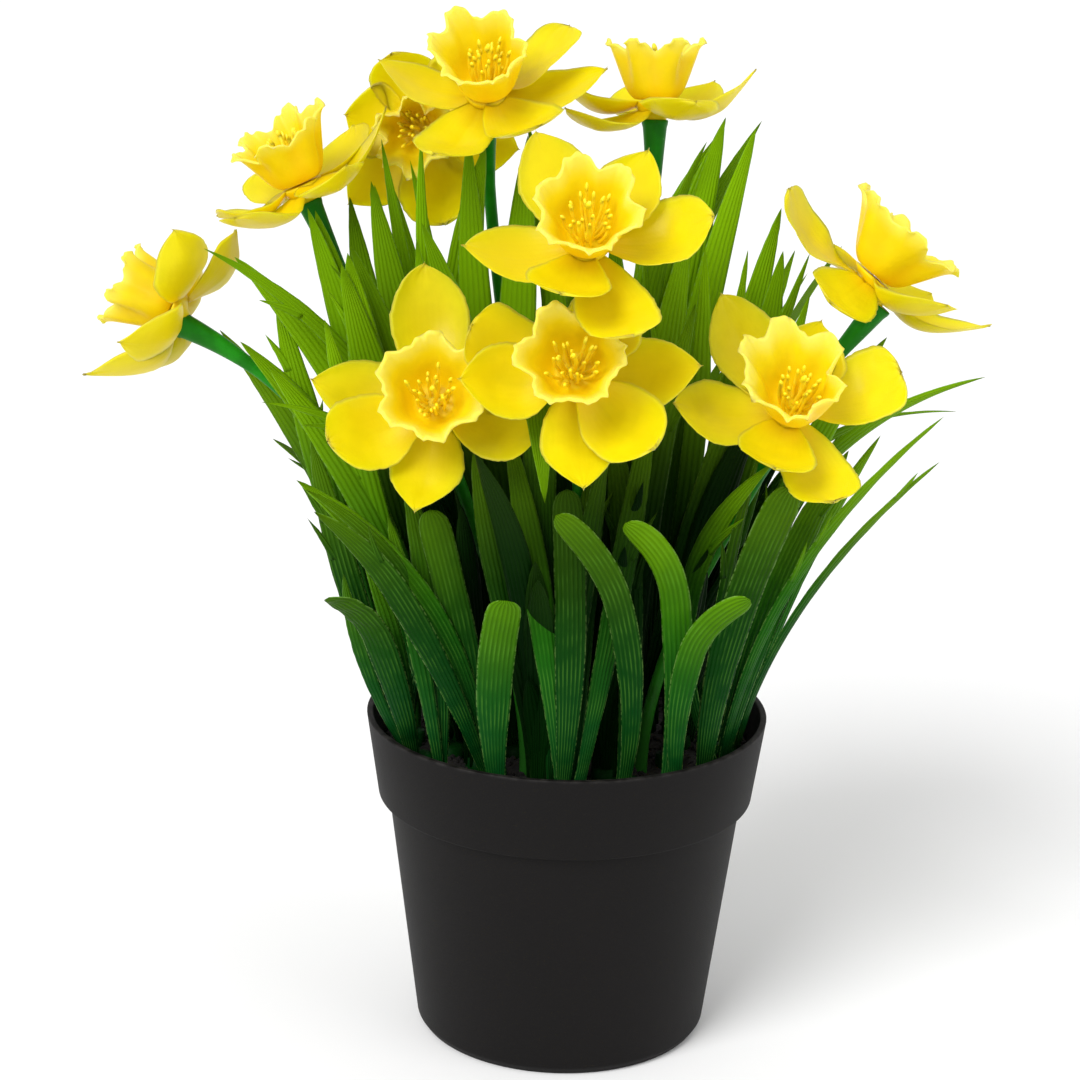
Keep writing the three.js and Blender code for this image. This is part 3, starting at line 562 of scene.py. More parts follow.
def ripple(x, draw, waves):
    """A smooth irregular curve of about unit height, from a seeded draw."""
    total = 0 * x
    for wave in waves:
        total = total + draw.uniform(0.4, 1) * np.sin(wave * x + draw.uniform(0, 2 * math.pi))
    return total / len(waves)


def blade_round(count):
    """Places round the edge of a thin blade: how far across, and which face."""
    turn = 2 * math.pi * np.arange(count) / count
    across = 2 / math.pi * np.arcsin(np.clip(np.cos(turn), -1, 1))
    face = np.sign(np.sin(turn)) * np.abs(np.sin(turn)) ** 0.35
    face[np.abs(np.sin(turn)) < 1e-9] = 0
    return across, face


# Flowers


def flower_frame(flower):
    az, el = math.radians(flower["az"]), math.radians(flower["el"])
    axis = np.array([math.sin(az) * math.cos(el), -math.cos(az) * math.cos(el), math.sin(el)])
    across = unit(np.cross([0, 0, 1.0], axis))
    return np.stack([across, np.cross(axis, across), axis], axis=1), np.array(flower["heart"], float)


def placed(grid, flower):
    turn, heart = flower_frame(flower)
    return grid @ turn.T + heart


# Each pair holds the inner three tepals' value, then the outer three's
TEPAL_WIDTHS = (1.03, 0.97)
TEPAL_STARTS = (4.8, 3.6)
TEPAL_CUPS = (0.20, 0.08)
TEPAL_RIMS = (1.5, 0.7)
TEPAL_STEP = 2.0
TEPAL_NECK = 0.3
TEPAL_ROWS = 32
TEPAL_ROUND = 40


def smooth(x, low, high):
    t = np.clip((x - low) / (high - low), 0, 1)
    return t * t * (3 - 2 * t)


def tepal_half_width(u, end, widest):
    near = np.clip((end["widest"] - u) / end["widest"], 0, 1)
    far = np.clip((u / end["spike"] - end["widest"]) / (1 - end["widest"]), 0, 1)
    half = (1 - (1 - TEPAL_NECK) * near ** 2) * (1 - far ** end["power"]) ** end["round"]
    return np.maximum(widest / 2 * half, 0.4 * np.clip((1 - u) / 0.05, 0, 1) ** 0.6)


def tepal_grid(tepal, outer, width, thickness, draw):
    angle, length, lift, bow, roll, end = tepal
    across, face = blade_round(TEPAL_ROUND)
    u = np.concatenate([[0], 1 - (1 - np.linspace(0, 1, TEPAL_ROWS)) ** 1.7])[:, None]
    v = across[None, :]
    half = tepal_half_width(u, end, width)
    closing = np.minimum(1, half / 0.8)
    closing[0] = 0
    left, right = (1 + 0.05 * ripple(6 * u, draw, (1, 2.3)) + 0.022 * ripple(44 * u, draw, (1, 1.7))
                   for _ in range(2))
    side = v * half * np.where(v > 0, right, left)
    rise = math.radians(lift)
    start = TEPAL_STARTS[outer]
    run = start + (length * math.cos(rise) - start) * u
    run = run + 0.55 * u ** 8 * ripple(9 * v, draw, (1, 2.2))
    middle = np.sin(math.pi * u ** 0.9)
    rim = np.abs(v) ** 3 * middle + 0.8 * np.clip((u - 0.55) / 0.45, 0, 1) ** 2
    # Lift and bow, cup, raised rim, hollow, midrib, waves and a turned end
    height = (
        length * math.sin(rise) * u ** 1.6 - outer * TEPAL_STEP * (1 - u * u) - bow * np.sin(math.pi * u)
        + TEPAL_CUPS[outer] * v * v * half
        + TEPAL_RIMS[outer] * draw.uniform(0.5, 1.2) * rim
        - 0.9 * draw.uniform(0.4, 1.2) * middle ** 1.4 * (1 - v * v)
        - 0.3 * np.exp(-(v / 0.14) ** 2) * (1 - u)
        + u * np.abs(v) ** 2 * ripple(7 * u + 2.5 * v, draw, (1, 1.9))
        + draw.uniform(-1.0, 1.2) * u ** 5 * (1 - 0.6 * v * v))
    dent = np.exp(-((u - draw.uniform(0.5, 0.8)) / 0.12) ** 2
                  - ((v - draw.uniform(-0.5, 0.5)) / 0.35) ** 2)
    height = height - draw.uniform(0.2, 0.9) * dent
    rolled = (math.radians(roll) + draw.uniform(-0.12, 0.12)) * smooth(u, 0.1, 0.5)
    thick = face[None, :] * closing * thickness / 2 * (1 - 0.3 * u) * (1 - 0.72 * np.abs(v) ** 4)
    height = height + thick * np.cos(rolled) + side * np.sin(rolled)
    flat = side * np.cos(rolled) - thick * np.sin(rolled)
    turn = math.radians(angle) + draw.uniform(-0.05, 0.05) * u ** 2
    grid = rings(run, turn, height, -flat * np.sin(turn), flat * np.cos(turn))
    return grid, {"reach": u, "across": v, "tone": draw.uniform(0, 1)}


HUB_SHARES = (0, 0.2, 0.4, 0.52, 0.64, 0.76, 0.88, 1)
HUB_RADII = (3.0, 3.1, 3.5, 4.2, 4.9, 5.6, 6.1, 6.2)
HUB_SIDES = 40


def hub_grid(neck):
    """The solid throat from the stem's socket to under the trumpet."""
    shares = np.array([0, *HUB_SHARES, 1])[:, None]
    radii = np.array([0, *HUB_RADII, 0])[:, None]
    x, y, z = (start + (end - start) * shares for start, end in zip(neck, (0, 0, 0.7)))
    reach = np.array([-1, *[-0.6 + 0.5 * s for s in HUB_SHARES], 0])[:, None]
    return rings(radii, circle(HUB_SIDES), z, x, y), {"reach": reach}


TRUMPET = {"base": 6.0, "bulb": 2.3, "foot": 1.4, "height": 17.1, "wall": 0.9, "floor": 1.8}
TRUMPET_SIDES = 168
TRUMPET_ROWS = 28
LOBES = 6
CORNER = 1.1
FLARE = 1.6


def lobe_wave(angle):
    """The height of the mouth's edge: a lobe with a tooth at each corner and a
    notch between them, then a round dip. Also how near a corner each place is."""
    turn = np.abs((angle + math.pi) % (2 * math.pi) - math.pi)
    lobe = 0.78 + 0.22 * (turn / CORNER) ** 1.7
    dip = 2 * np.clip((math.pi - turn) / (math.pi - CORNER), 0, 1) ** 1.6 - 1
    wave = 0.6 * np.where(turn < CORNER, lobe, dip) + 0.4 * np.cos(turn)
    return wave, np.exp(-((turn - CORNER) / 0.32) ** 2)


def trumpet_grid(flower, frill, draw):
    mouth, phase = flower["mouth"], flower["phase"]
    tilt_x, tilt_y = flower.get("tilt", (0, 0))
    lean_x, lean_y = flower.get("lean", (0, 0))
    turn = circle(TRUMPET_SIDES)[None, :]
    up = np.linspace(0, 1, TRUMPET_ROWS)
    wall = [(s, 0) for s in up] + [(1.014, 0.5)] + [(s, 1) for s in up[::-1] if s > 0.07]
    s = np.array([w[0] for w in wall])[:, None]
    inside = np.array([w[1] for w in wall])[:, None]
    wide = TRUMPET["base"] + TRUMPET["bulb"]
    radius = wide - TRUMPET["bulb"] * np.exp(-s / 0.10) + (mouth - wide) * s ** flower.get("flare", FLARE)
    z = TRUMPET["foot"] + TRUMPET["height"] * s
    wobble = (phase + 0.22 * np.sin(turn + draw.uniform(0, 6))
              + 0.2 * np.sin(2 * turn + draw.uniform(0, 6)))
    wave, corner = lobe_wave(LOBES * turn + wobble)
    vary = (1 + 0.22 * np.sin(turn + draw.uniform(0, 6))
            + 0.22 * np.sin(3 * turn + draw.uniform(0, 6)))
    swing = frill * s ** 2.8 * vary
    ragged = ripple(turn, draw, (13, 19, 24, 29))
    radius = radius + swing * (1.9 * wave + 0.3) + s ** 10 * (frill * corner * 0.8 + 0.75 * ragged)
    z = z + swing * 1.7 * (wave - 0.8) + s ** 14 * (0.5 * ragged - frill * corner * 1.2)
    z = z + s ** 2 * (tilt_x * np.cos(turn) + tilt_y * np.sin(turn))
    z = z + s ** 4 * 0.8 * ripple(turn, draw, (1, 2))
    fold = np.cos(LOBES * turn + wobble)
    radius = radius + 0.55 * frill * np.sin(math.pi * s ** 1.3) * fold
    radius = radius + 0.3 * s ** 2 * ripple(5 * turn, draw, (1, 2, 3))
    radius = radius - inside * (TRUMPET["wall"] + 3.0 * np.exp(-s / 0.13))
    z = z + inside * 0.3 * s ** 2
    z = np.maximum(z, np.where(inside > 0.7, TRUMPET["foot"] + TRUMPET["floor"], 0))
    skin = rings(radius, turn, z, (lean_x - 0.4 * tilt_x) * s ** 2, (lean_y - 0.4 * tilt_y) * s ** 2)
    low, high = (rings(0, turn, level) for level in (TRUMPET["foot"], TRUMPET["foot"] + TRUMPET["floor"]))
    reach = np.concatenate([[[0]], s, [[0]]])
    inner = np.concatenate([[[0]], inside, [[1]]])
    tone = np.concatenate([0 * wave, wave * np.ones_like(s), 0 * wave])
    return np.concatenate([low, skin, high]), {"reach": reach, "across": inner, "tone": tone}


def stamen_tree():
    """Bent filaments with small anthers, in two rings, round a taller style."""
    tree, nodes, given = geometry_tree(
        "Stamens", Count="Int", Ring="Float", Height="Float", Thickness="Float", Seed="Int")
    height, thickness, seed = (given.out(name) for name in ("Height", "Thickness", "Seed"))
    bend = nodes.add("ShaderNodeCombineXYZ", {"X": height * 0.12, "Z": height * 0.55})
    head = nodes.add("ShaderNodeCombineXYZ", {"X": height * 0.02, "Z": height})
    line = nodes.add("GeometryNodeCurveQuadraticBezier", {
        "Resolution": 9, "Start": (0, 0, 0), "Middle": bend, "End": head})
    thread = nodes.add("GeometryNodeCurveToMesh", {
        "Curve": line, "Profile Curve": nodes.circle(7, thickness), "Fill Caps": True})
    ball = nodes.add("GeometryNodeMeshUVSphere", {
        "Segments": 8, "Rings": 6, "Radius": thickness * 1.3})
    anther = nodes.add("GeometryNodeTransform", {
        "Geometry": ball, "Translation": head, "Rotation": (0, 0.2, 0), "Scale": (1, 0.9, 2.4)})
    stamen = nodes.join(thread, anther)
    ring = nodes.add("GeometryNodeMeshCircle", {
        "Vertices": given.out("Count"), "Radius": given.out("Ring")})
    outer = nodes.add("GeometryNodeInputIndex") % 2.0
    place = nodes.position()
    spread = nodes.add("GeometryNodeSetPosition", {
        "Geometry": ring, "Position": nodes.scaled(place, 1.15 - 0.55 * outer)})

    x, y, _ = nodes.axes(place)
    lean = nodes.add("ShaderNodeCombineXYZ", {
        "Y": nodes.drawn(seed + 1, 0.03, 0.38), "Z": y.heading(x) + nodes.drawn(seed + 2, -0.5, 0.5)})
    grown = nodes.add("ShaderNodeCombineXYZ", {
        "X": 1.0, "Y": 1.0, "Z": nodes.drawn(seed + 3, 0.72, 1.08)})
    threads = nodes.add("GeometryNodeInstanceOnPoints", {
        "Points": spread, "Instance": stamen, "Rotation": lean, "Scale": grown})
    style = nodes.add("GeometryNodeTransform", {"Geometry": stamen, "Scale": (1.35, 1.35, 1.12)})
    close_tree(nodes, nodes.join(threads, style), given)
    return tree


def petal_material(settings):
    material, nodes, place = material_nodes("petal_plastic")
    reach, across, tone = (nodes.attribute(name) for name in ("reach", "across", "tone"))
    cloud = nodes.noise(90.0, 3.0, place)
    colour = nodes.mottled(cloud.rising(0.35, 0.75), settings.petal_colour, 0.93, 1.07)
    colour = nodes.mix(tone * 0.3, colour, (0.74, 0.53, 0.003))
    veins = (across * 40.0 + cloud * 5.0).cosine() * 0.5 + 0.5
    colour = nodes.mix(veins * 0.04 * reach.rising(1.0, 0.3), colour, (0.66, 0.43, 0.002))
    colour = nodes.mix(reach.rising(0.32, 0.02) * 0.55, colour, (0.84, 0.53, 0.003))
    colour = nodes.mix(reach.rising(0.0, -0.45), colour, settings.throat_colour)
    # Painted highlight: the thin rim paler, as where light catches and shines through it
    rim = across.size().rising(0.84, 1.0) * 0.6 + reach.rising(0.93, 1.0)
    colour = nodes.mix(rim * reach.rising(0.1, 0.35) * 0.32, colour, (0.86, 0.72, 0.07))
    fine = nodes.noise(1500.0, 2.0, place)
    height = veins * 0.12 * reach.rising(1.0, 0.4) + fine * 0.3 + cloud * 1.5
    close_material(
        nodes, Base_Color=colour, Roughness=0.34 + cloud * 0.12, Normal=nodes.bumped(height, 0.00012),
        IOR=1.45, Specular_IOR_Level=0.2, Coat_Weight=0.02, Coat_Roughness=0.2,
        Subsurface_Weight=0.65, Subsurface_Radius=(1.0, 0.9, 0.1), Subsurface_Scale=0.0034)
    return material


def trumpet_material(settings):
    material, nodes, place = material_nodes("trumpet_plastic")
    reach, inner, wave = (nodes.attribute(name) for name in ("reach", "across", "tone"))
    cloud = nodes.noise(160.0, 3.0, place)
    colour = nodes.mottled(cloud.rising(0.35, 0.7), settings.trumpet_colour, 0.96, 1.06)
    colour = nodes.mix(reach.rising(0.42, 0.03) * 0.8, colour, settings.throat_colour)
    pale = reach.rising(0.66, 1.0)
    colour = nodes.mix(pale * (0.35 + cloud * 0.6), colour, (0.89, 0.75, 0.14))
    # Painted shade on the trumpet's outside, deeper in the dips between the lobes, none on the pale rim
    outside = (1.0 - inner) * (0.45 - wave * 0.2) * (1.0 - pale)
    colour = nodes.mix(outside, colour, (0.87, 0.54, 0.004))
    height = nodes.noise(1300.0, 2.0, place) * 0.35 + cloud * 1.6
    close_material(
        nodes, Base_Color=colour, Roughness=0.38 + cloud * 0.1, Normal=nodes.bumped(height, 0.00014),
        IOR=1.45, Specular_IOR_Level=0.24, Coat_Weight=0.03, Coat_Roughness=0.2,
        Subsurface_Weight=0.7, Subsurface_Radius=(1.0, 0.9, 0.1), Subsurface_Scale=0.0045)
    return material


def stamen_material(settings):
    material, nodes, place = material_nodes("stamen_plastic")
    cloud = nodes.noise(700.0, 2.0, place)
    colour = nodes.mix(cloud.rising(0.35, 0.7), (1.0, 0.70, 0.004), (1.0, 0.80, 0.03))
    close_material(
        nodes, Base_Color=colour, Roughness=0.42 + cloud * 0.1, Normal=nodes.bumped(cloud, 0.0001),
        Subsurface_Weight=0.6, Subsurface_Radius=(1.0, 0.8, 0.1), Subsurface_Scale=0.002)
    return material


# Stems


SOCKET_LENGTH = 27.0
SOCKET_LAP = 2.4
BEAD_STEPS = (2.2, 1.6, 1.2, 0.25, 0)
STEM_STEPS = 24
SOCKET_STEPS = 14
STEM_SIDES = 22


def stem_path(flower):
    turn, heart = flower_frame(flower)
    top = heart + turn @ np.array(flower.get("neck", STRAIGHT_NECK), float)
    along = turn[:, 2]
    ground = np.array([*flower["root"], BLOCK_TOP + 1.0])
    pull = 0.36 * np.linalg.norm(top - ground)
    corners = [ground, ground + [0, 0, pull], top - along * pull, top + along * SOCKET_LAP]
    t = np.linspace(0, 1, 60)[:, None]
    path = ((1 - t) ** 3 * corners[0] + 3 * t * (1 - t) ** 2 * corners[1]
            + 3 * t ** 2 * (1 - t) * corners[2] + t ** 3 * corners[3])
    length = np.concatenate([[0], np.cumsum(np.linalg.norm(np.diff(path, axis=0), axis=1))])
    return path, length


def stem_chain(flower, slim, wide, draw):
    path, length = stem_path(flower)
    total = length[-1]
    shares = np.concatenate([
        np.linspace(0, 1 - SOCKET_LENGTH / total, STEM_STEPS, endpoint=False),
        np.linspace(1 - SOCKET_LENGTH / total, 1 - SOCKET_LAP / total, SOCKET_STEPS, endpoint=False),
        [1 - step / total for step in BEAD_STEPS]])
    points = np.stack([np.interp(shares * total, length, path[:, i]) for i in range(3)], axis=1)
    opening = np.clip((shares * total - total + SOCKET_LENGTH) / SOCKET_LENGTH, 0, 1)
    radius = slim + (wide - slim) * opening ** 1.2
    radius = radius * (1 + 0.02 * ripple(shares * 30, draw, (1, 2.1)))
    radius[-4:] += (0.12, 0.2, 0.2, 0.0)
    foot = np.array([[points[0][0], points[0][1], STEM_FOOT]])
    return {"points": np.concatenate([foot, points]),
            "half": np.concatenate([[slim], radius]) * MM,
            "reach": np.concatenate([[0], shares])}


def stem_tree():
    tree, nodes, given = geometry_tree("Round stem", Sides="Int")
    curve = nodes.add("GeometryNodeMeshToCurve", {"Mesh": given.out("Geometry")})
    tube = nodes.add("GeometryNodeCurveToMesh", {
        "Curve": curve, "Profile Curve": nodes.circle(given.out("Sides"), 1.0),
        "Scale": nodes.kept("half"), "Fill Caps": True})
    close_tree(nodes, tube, given)
    return tree


def stem_material(settings):
    material, nodes, place = material_nodes("stem_plastic")
    reach = nodes.attribute("reach")
    cloud = nodes.noise(140.0, 3.0, place)
    colour = nodes.mottled(cloud.rising(0.35, 0.7), settings.colour, 0.8, 1.2)
    colour = nodes.mix(reach.rising(0.35, 0.0) * 0.7, colour, (0.006, 0.055, 0.015))
    colour = nodes.mix(reach.rising(0.80, 0.55) * 0.35, colour, (0.035, 0.15, 0.006))
    scuff = nodes.noise(420.0, 4.0, place).rising(0.68, 0.74)
    colour = nodes.mix(scuff * 0.3, colour, (0.12, 0.42, 0.10))
    close_material(
        nodes, Base_Color=colour, Roughness=0.34 + cloud * 0.15, Specular_IOR_Level=0.14, IOR=1.45,
        Normal=nodes.bumped(cloud + scuff * 0.4, 0.00015), Coat_Weight=0.03, Coat_Roughness=0.2)
    return material


# Leaves

LEAF_CHANNEL = 0.07
LEAF_CURL_FROM = 0.65
LEAF_ROWS, LEAF_ROUND = 46, 32
FILL_ROWS, FILL_ROUND = 26, 20
LEAF_RISE = 0.62


def blunt_end(leaf):
    return len(leaf) > 9


def leaf_width(t, blunt):
    growth = 0.42 + 0.58 * np.sin(math.pi / 2 * np.minimum(t / LEAF_RISE, 1)) ** 1.3
    start = 0.86 if blunt else LEAF_RISE
    far = np.clip((t - start) / (1 - start), 0, 1)
    return growth * (1 - far ** (4.5 if blunt else 2.2)) ** (0.6 if blunt else 0.85)


def leaf_chain(root, leaf, draw, rows=LEAF_ROWS, painted_shade=0.0):
    width, face = leaf[6:8]
    via, tip, curl = (np.array(v, float) for v in (leaf[:3], leaf[3:6], (*leaf[8:9], NONE)[0]))
    lean = math.atan2(tip[1] - root[1], tip[0] - root[0])
    foot = np.array([
        root[0] + CROWN_LEAF_OFFSET * math.cos(lean),
        root[1] + CROWN_LEAF_OFFSET * math.sin(lean), LEAF_FOOT])
    looks = lean if face is None else math.radians(face)
    end = tip - curl
    near = np.linalg.norm(via - foot)
    s = near / (near + np.linalg.norm(end - via))
    control = (via - (1 - s) ** 2 * foot - s ** 2 * end) / (2 * s * (1 - s))
    t = np.concatenate([[0], 1 - (1 - np.linspace(0, 1, rows - 1)) ** 1.25])
    column = t[:, None]
    bend = np.clip((column - LEAF_CURL_FROM) / (1 - LEAF_CURL_FROM), 0, 1)
    points = ((1 - column) ** 2 * foot + 2 * column * (1 - column) * control + column ** 2 * end
              + curl * bend ** 2)
    along = unit(2 * (1 - column) * (control - foot) + 2 * column * (end - control)
                 + curl * 2 * bend / (1 - LEAF_CURL_FROM))
    side = np.array([-math.sin(looks), math.cos(looks), 0.0])
    side = unit(side - along * (along @ side)[:, None])
    out = np.cross(along, side)
    twist = draw.uniform(-0.25, 0.25) * t ** 2
    sway = np.cos(twist)[:, None] * side + np.sin(twist)[:, None] * out
    out = np.cross(along, sway)
    share = leaf_width(t, blunt_end(leaf))
    half = width / 2 * share * (1.0 if width < 6 else 1.12 if tip[2] > 205 else 0.94)
    half = half * (1 + 0.03 * ripple(9 * t, draw, (1, 2.3)))
    closing = np.minimum(1, half / 0.9)
    closing[0] = closing[-1] = 0
    return {
        "points": points, "side": sway, "out": out, "half": half * MM,
        "edge": LEAF_CHANNEL * width * share * MM, "closing": closing, "reach": t,
        "tone": draw.uniform(0, 1), "shade": painted_shade, "ribs": float(round(width / 1.4)),
        "wave": draw.uniform(0, 1) ** 2 * np.clip((t - 0.35) / 0.5, 0, 1)}


def barb_chains(parent, draw):
    """Small spikes that stand off the upper edges of a leaf."""
    chains = []
    for _ in range(draw.choice((0, 1, 1, 2))):
        sign = draw.choice((-1, 1))
        k = int(len(parent["points"]) * draw.uniform(0.4, 0.8))
        side = parent["side"][k] * sign
        along = unit(parent["points"][k + 1] - parent["points"][k])
        start = parent["points"][k] + side * parent["half"][k] / MM * 0.5
        length = draw.uniform(9, 19)
        t = np.concatenate([[0], np.linspace(0, 1, 11)])
        column = t[:, None]
        points = start + along * length * column + side * length * 0.34 * column ** 1.3
        half = draw.uniform(1.0, 1.5) * (1 - t ** 1.8)
        closing = np.minimum(1, half / 0.6)
        closing[0] = 0
        same = np.ones((len(t), 1))
        chains.append({
            "points": points, "side": same * parent["side"][k], "out": same * parent["out"][k],
            "half": half * MM, "edge": 0.1 * half * MM, "closing": closing, "reach": 0.6 + 0.4 * t,
            "tone": parent["tone"], "shade": 0.0, "ribs": 2.0, "wave": 0 * t})
    return chains


def fill_sprays():
    draw = random.Random(FILL["seed"])
    sprays = []
    for x, y in FILL["roots"]:
        leaves = []
        for _ in range(FILL["leaves"]):
            height = draw.uniform(FILL["low"], FILL["high"])
            grown = (height - BLOCK_TOP) / FILL["spread"]
            turn, sway = draw.uniform(0, 2 * math.pi), draw.uniform(4, 26) * grown
            tip = (x * (1 + grown * 0.8) + sway * math.cos(turn),
                   y * (1 + grown * 0.5) + sway * math.sin(turn), height)
            bow = draw.uniform(0.3, 0.42)
            via = (x + (tip[0] - x) * bow, y + (tip[1] - y) * bow,
                   BLOCK_TOP + (height - BLOCK_TOP) * 0.6)
            face = FRONT + draw.uniform(-35, 35)
            leaves.append((*via, *tip, draw.uniform(*FILL["widths"]), face))
        sprays.append(((x, y), leaves))
    return sprays


def seeded_draw(seed):
    """The same row of draws between 0 and 1 for a seed."""
    mask = 0xFFFFFFFF
    state = seed
    while True:
        state = (state + 0x6D2B79F5) & mask
        t = ((state ^ (state >> 15)) * (1 | state)) & mask
        t = ((t + (((t ^ (t >> 7)) * (61 | t)) & mask)) & mask) ^ t
        yield ((t ^ (t >> 14)) & mask) / 4294967296


def back_sprays():
    row = seeded_draw(BACK["seed"])

    def between(a, b):
        return a + (b - a) * next(row)

    sprays = []
    for x, y in BACK["roots"]:
        radius, heading = math.hypot(x, y), math.atan2(y, x)
        leaves = []
        for i in range(BACK["leaves"]):
            share = (i + 0.5) / BACK["leaves"] - 0.5
            azimuth = heading + math.radians(BACK["fan"] * share + between(-6, 6))
            reach = (BACK["near_lean"] + BACK["lean_per_radius"] * radius) * between(0.55, 1.1)
            height = between(BACK["low"], BACK["high"]) - 0.25 * reach
            bow = between(0.28, 0.42)
            via = (x + reach * bow * math.cos(azimuth), y + reach * bow * math.sin(azimuth),
                   BLOCK_TOP + (height - BLOCK_TOP) * 0.62)
            tip = (x + reach * math.cos(azimuth), y + reach * math.sin(azimuth), height)
            leaves.append((*via, *tip, between(*BACK["widths"]), None))
        sprays.append(((x, y), leaves))
    return sprays


def blade_tree():
    """Sweeps a thin ribbed blade along each chain, and adds the crown they share."""
    tree, nodes, given = geometry_tree(
        "Ribbed blades", Points_round="Int", Thickness="Float", Edge_flash="Float",
        Crown_foot="Vector", Crown_radius="Float", Crown_height="Float")

    def stored(geometry, name, value, kind="FLOAT"):
        return nodes.add("GeometryNodeStoreNamedAttribute", {
            "Geometry": geometry, "Name": name, "Value": value}, data_type=kind, domain="POINT")

    spine = stored(given.out("Geometry"), "spine", nodes.position(), "FLOAT_VECTOR")
    curve = nodes.add("GeometryNodeMeshToCurve", {"Mesh": spine})
    x, y, _ = nodes.axes(nodes.position())
    profile = stored(nodes.circle(given.out("Points round"), 1.0), "across", x.arcsine() * (2 / math.pi))
    profile = stored(profile, "face", y.sign() * y.size() ** 0.35)
    swept = nodes.add("GeometryNodeCurveToMesh", {"Curve": curve, "Profile Curve": profile})
    across, face, half, closing, reach, edge, wave = (nodes.kept(name) for name in (
        "across", "face", "half", "closing", "reach", "edge", "wave"))
    side, out, middle = (nodes.kept(name, "FLOAT_VECTOR") for name in ("side", "out", "spine"))
    rough = nodes.noise(1700.0, 1.0, middle)
    ragged = across.sign() * across.size().rising(0.93, 1.0) * (rough - 0.4) * given.out("Edge flash")
    sideways = across * half + ragged * closing
    buckle = (reach * 60.0 + across * 2.5).cosine() * wave * half * 0.05
    raised = edge * across * across + given.out("Thickness") * 0.5 * face + buckle
    offset = nodes.sum(nodes.scaled(side, sideways), nodes.scaled(out, raised * closing))
    moved = nodes.add("GeometryNodeSetPosition", {
        "Geometry": swept, "Position": nodes.sum(middle, offset)})
    merged = nodes.add("GeometryNodeMergeByDistance", {"Geometry": moved, "Distance": MERGE})
    radius = given.out("Crown radius")
    crown = nodes.add("GeometryNodeMeshCone", {
        "Vertices": 18, "Side Segments": 4, "Fill Segments": 2, "Radius Top": radius * 0.8,
        "Radius Bottom": radius, "Depth": given.out("Crown height")})
    stood = nodes.add("GeometryNodeTransform", {
        "Geometry": crown, "Translation": given.out("Crown foot")})
    close_tree(nodes, nodes.join(merged, stood), given)
    return tree


def leaf_material(settings):
    material, nodes, place = material_nodes("leaf_plastic")
    reach, across, tone, ribs, painted_shade = (nodes.attribute(name) for name in (
        "reach", "across", "tone", "ribs", "shade"))
    cloud = nodes.noise(60.0, 3.0, place)
    x, y, height = nodes.axes(place)
    out = (x * x + y * y) ** 0.5
    blade = nodes.mottled(tone.rising(0.1, 0.9), settings.blade_colour, 0.45, 1.6)

    # Lighter ends, painted light high up and far out where the tuft is lit, and painted shade low down
    low = height.rising(0.215, 0.14)
    tips_and_painted_light = reach.rising(0.40, 0.97) * (0.2 + tone * 0.7) * (1.0 - low * 0.5)
    tips_and_painted_light = 1.0 - (1.0 - tips_and_painted_light) * (1.0 - (1.0 - low) * (0.4 + tone * 0.35))
    tips_and_painted_light = 1.0 - (1.0 - tips_and_painted_light) * (1.0 - out.rising(0.072, 0.105) * 0.45)
    colour = nodes.mix(tips_and_painted_light, blade, settings.tip_colour)
    # The foot's own blue-green, made darker to stand also for painted shade low in the tuft
    colour = nodes.mix(height.rising(0.155, 0.097) * 0.9, colour, settings.foot_colour)
    # More painted shade low down, blotched and strongest on the darker leaves
    colour = nodes.mix(cloud.rising(0.45, 0.75) * 0.4 * low, colour, (0.008, 0.070, 0.003))
    colour = nodes.mix(low * (1.0 - tone) * 0.6, colour, (0.0015, 0.036, 0.003))

    # Grooves and crests of the ribs: painted shade in the grooves, deeper low down, and painted highlight
    # on the crests
    drift = nodes.noise(130.0, 2.0, place) * 1.4
    groove = (across * ribs * math.pi + drift).cosine() * 0.5 + 0.5
    inside = 1.0 - across.size().rising(0.84, 0.97)
    lines = groove ** 1.6 * inside
    colour = nodes.mix(lines * (0.1 + low * 0.15), colour, (0.002, 0.030, 0.001))
    highlight_patches = nodes.noise(150.0, 2.0, place).rising(0.35, 0.7)
    crest = (1.0 - groove) ** 4.0 * inside
    colour = nodes.mix(crest * highlight_patches * (0.08 + low * 0.2), colour, (0.11, 0.30, 0.03))

    # Painted shade inside the tuft and on the fill sprays, and torn pale edges outside it
    deep = height.rising(0.24, 0.15) * (out - (height - 0.09) * 0.22).rising(0.045, 0.026)
    deep = 1.0 - (1.0 - deep * 0.88) * (1.0 - painted_shade * 0.92)
    colour = nodes.mix(deep, colour, (0.0006, 0.012, 0.0004))
    torn = across.size().rising(0.90, 1.0) * nodes.noise(800.0, 2.0, place).rising(0.40, 0.60)
    colour = nodes.mix(torn * (1.0 - deep) * 0.55, colour, (0.24, 0.45, 0.10))
    bump = nodes.bumped((1.0 - lines) * 1.0 + cloud * 0.8, settings.rib_depth)
    close_material(
        nodes, Base_Color=colour, Roughness=0.40 + cloud * 0.16, Normal=bump, IOR=1.2,
        Specular_IOR_Level=0.18)
    return material


# Pot and potting mix

POT_SIDES = 160
MIX_SIDES = 96
MIX_RINGS = 30
MIX_WAVES = 14
CRUMB_DENSITY = 90000.0
CRUMB_DEPTH = 3


def pot_body_radius(z):
    share = (z - POT["foot_height"]) / (POT["ledge"] - POT["foot_height"])
    return POT["foot"] + (POT["body_top"] - POT["foot"]) * share


def pot_collar_radius(z):
    share = (z - POT["ledge"]) / (POT["height"] - POT["ledge"])
    return POT["ledge_radius"] + (POT["rim"] - POT["ledge_radius"]) * share


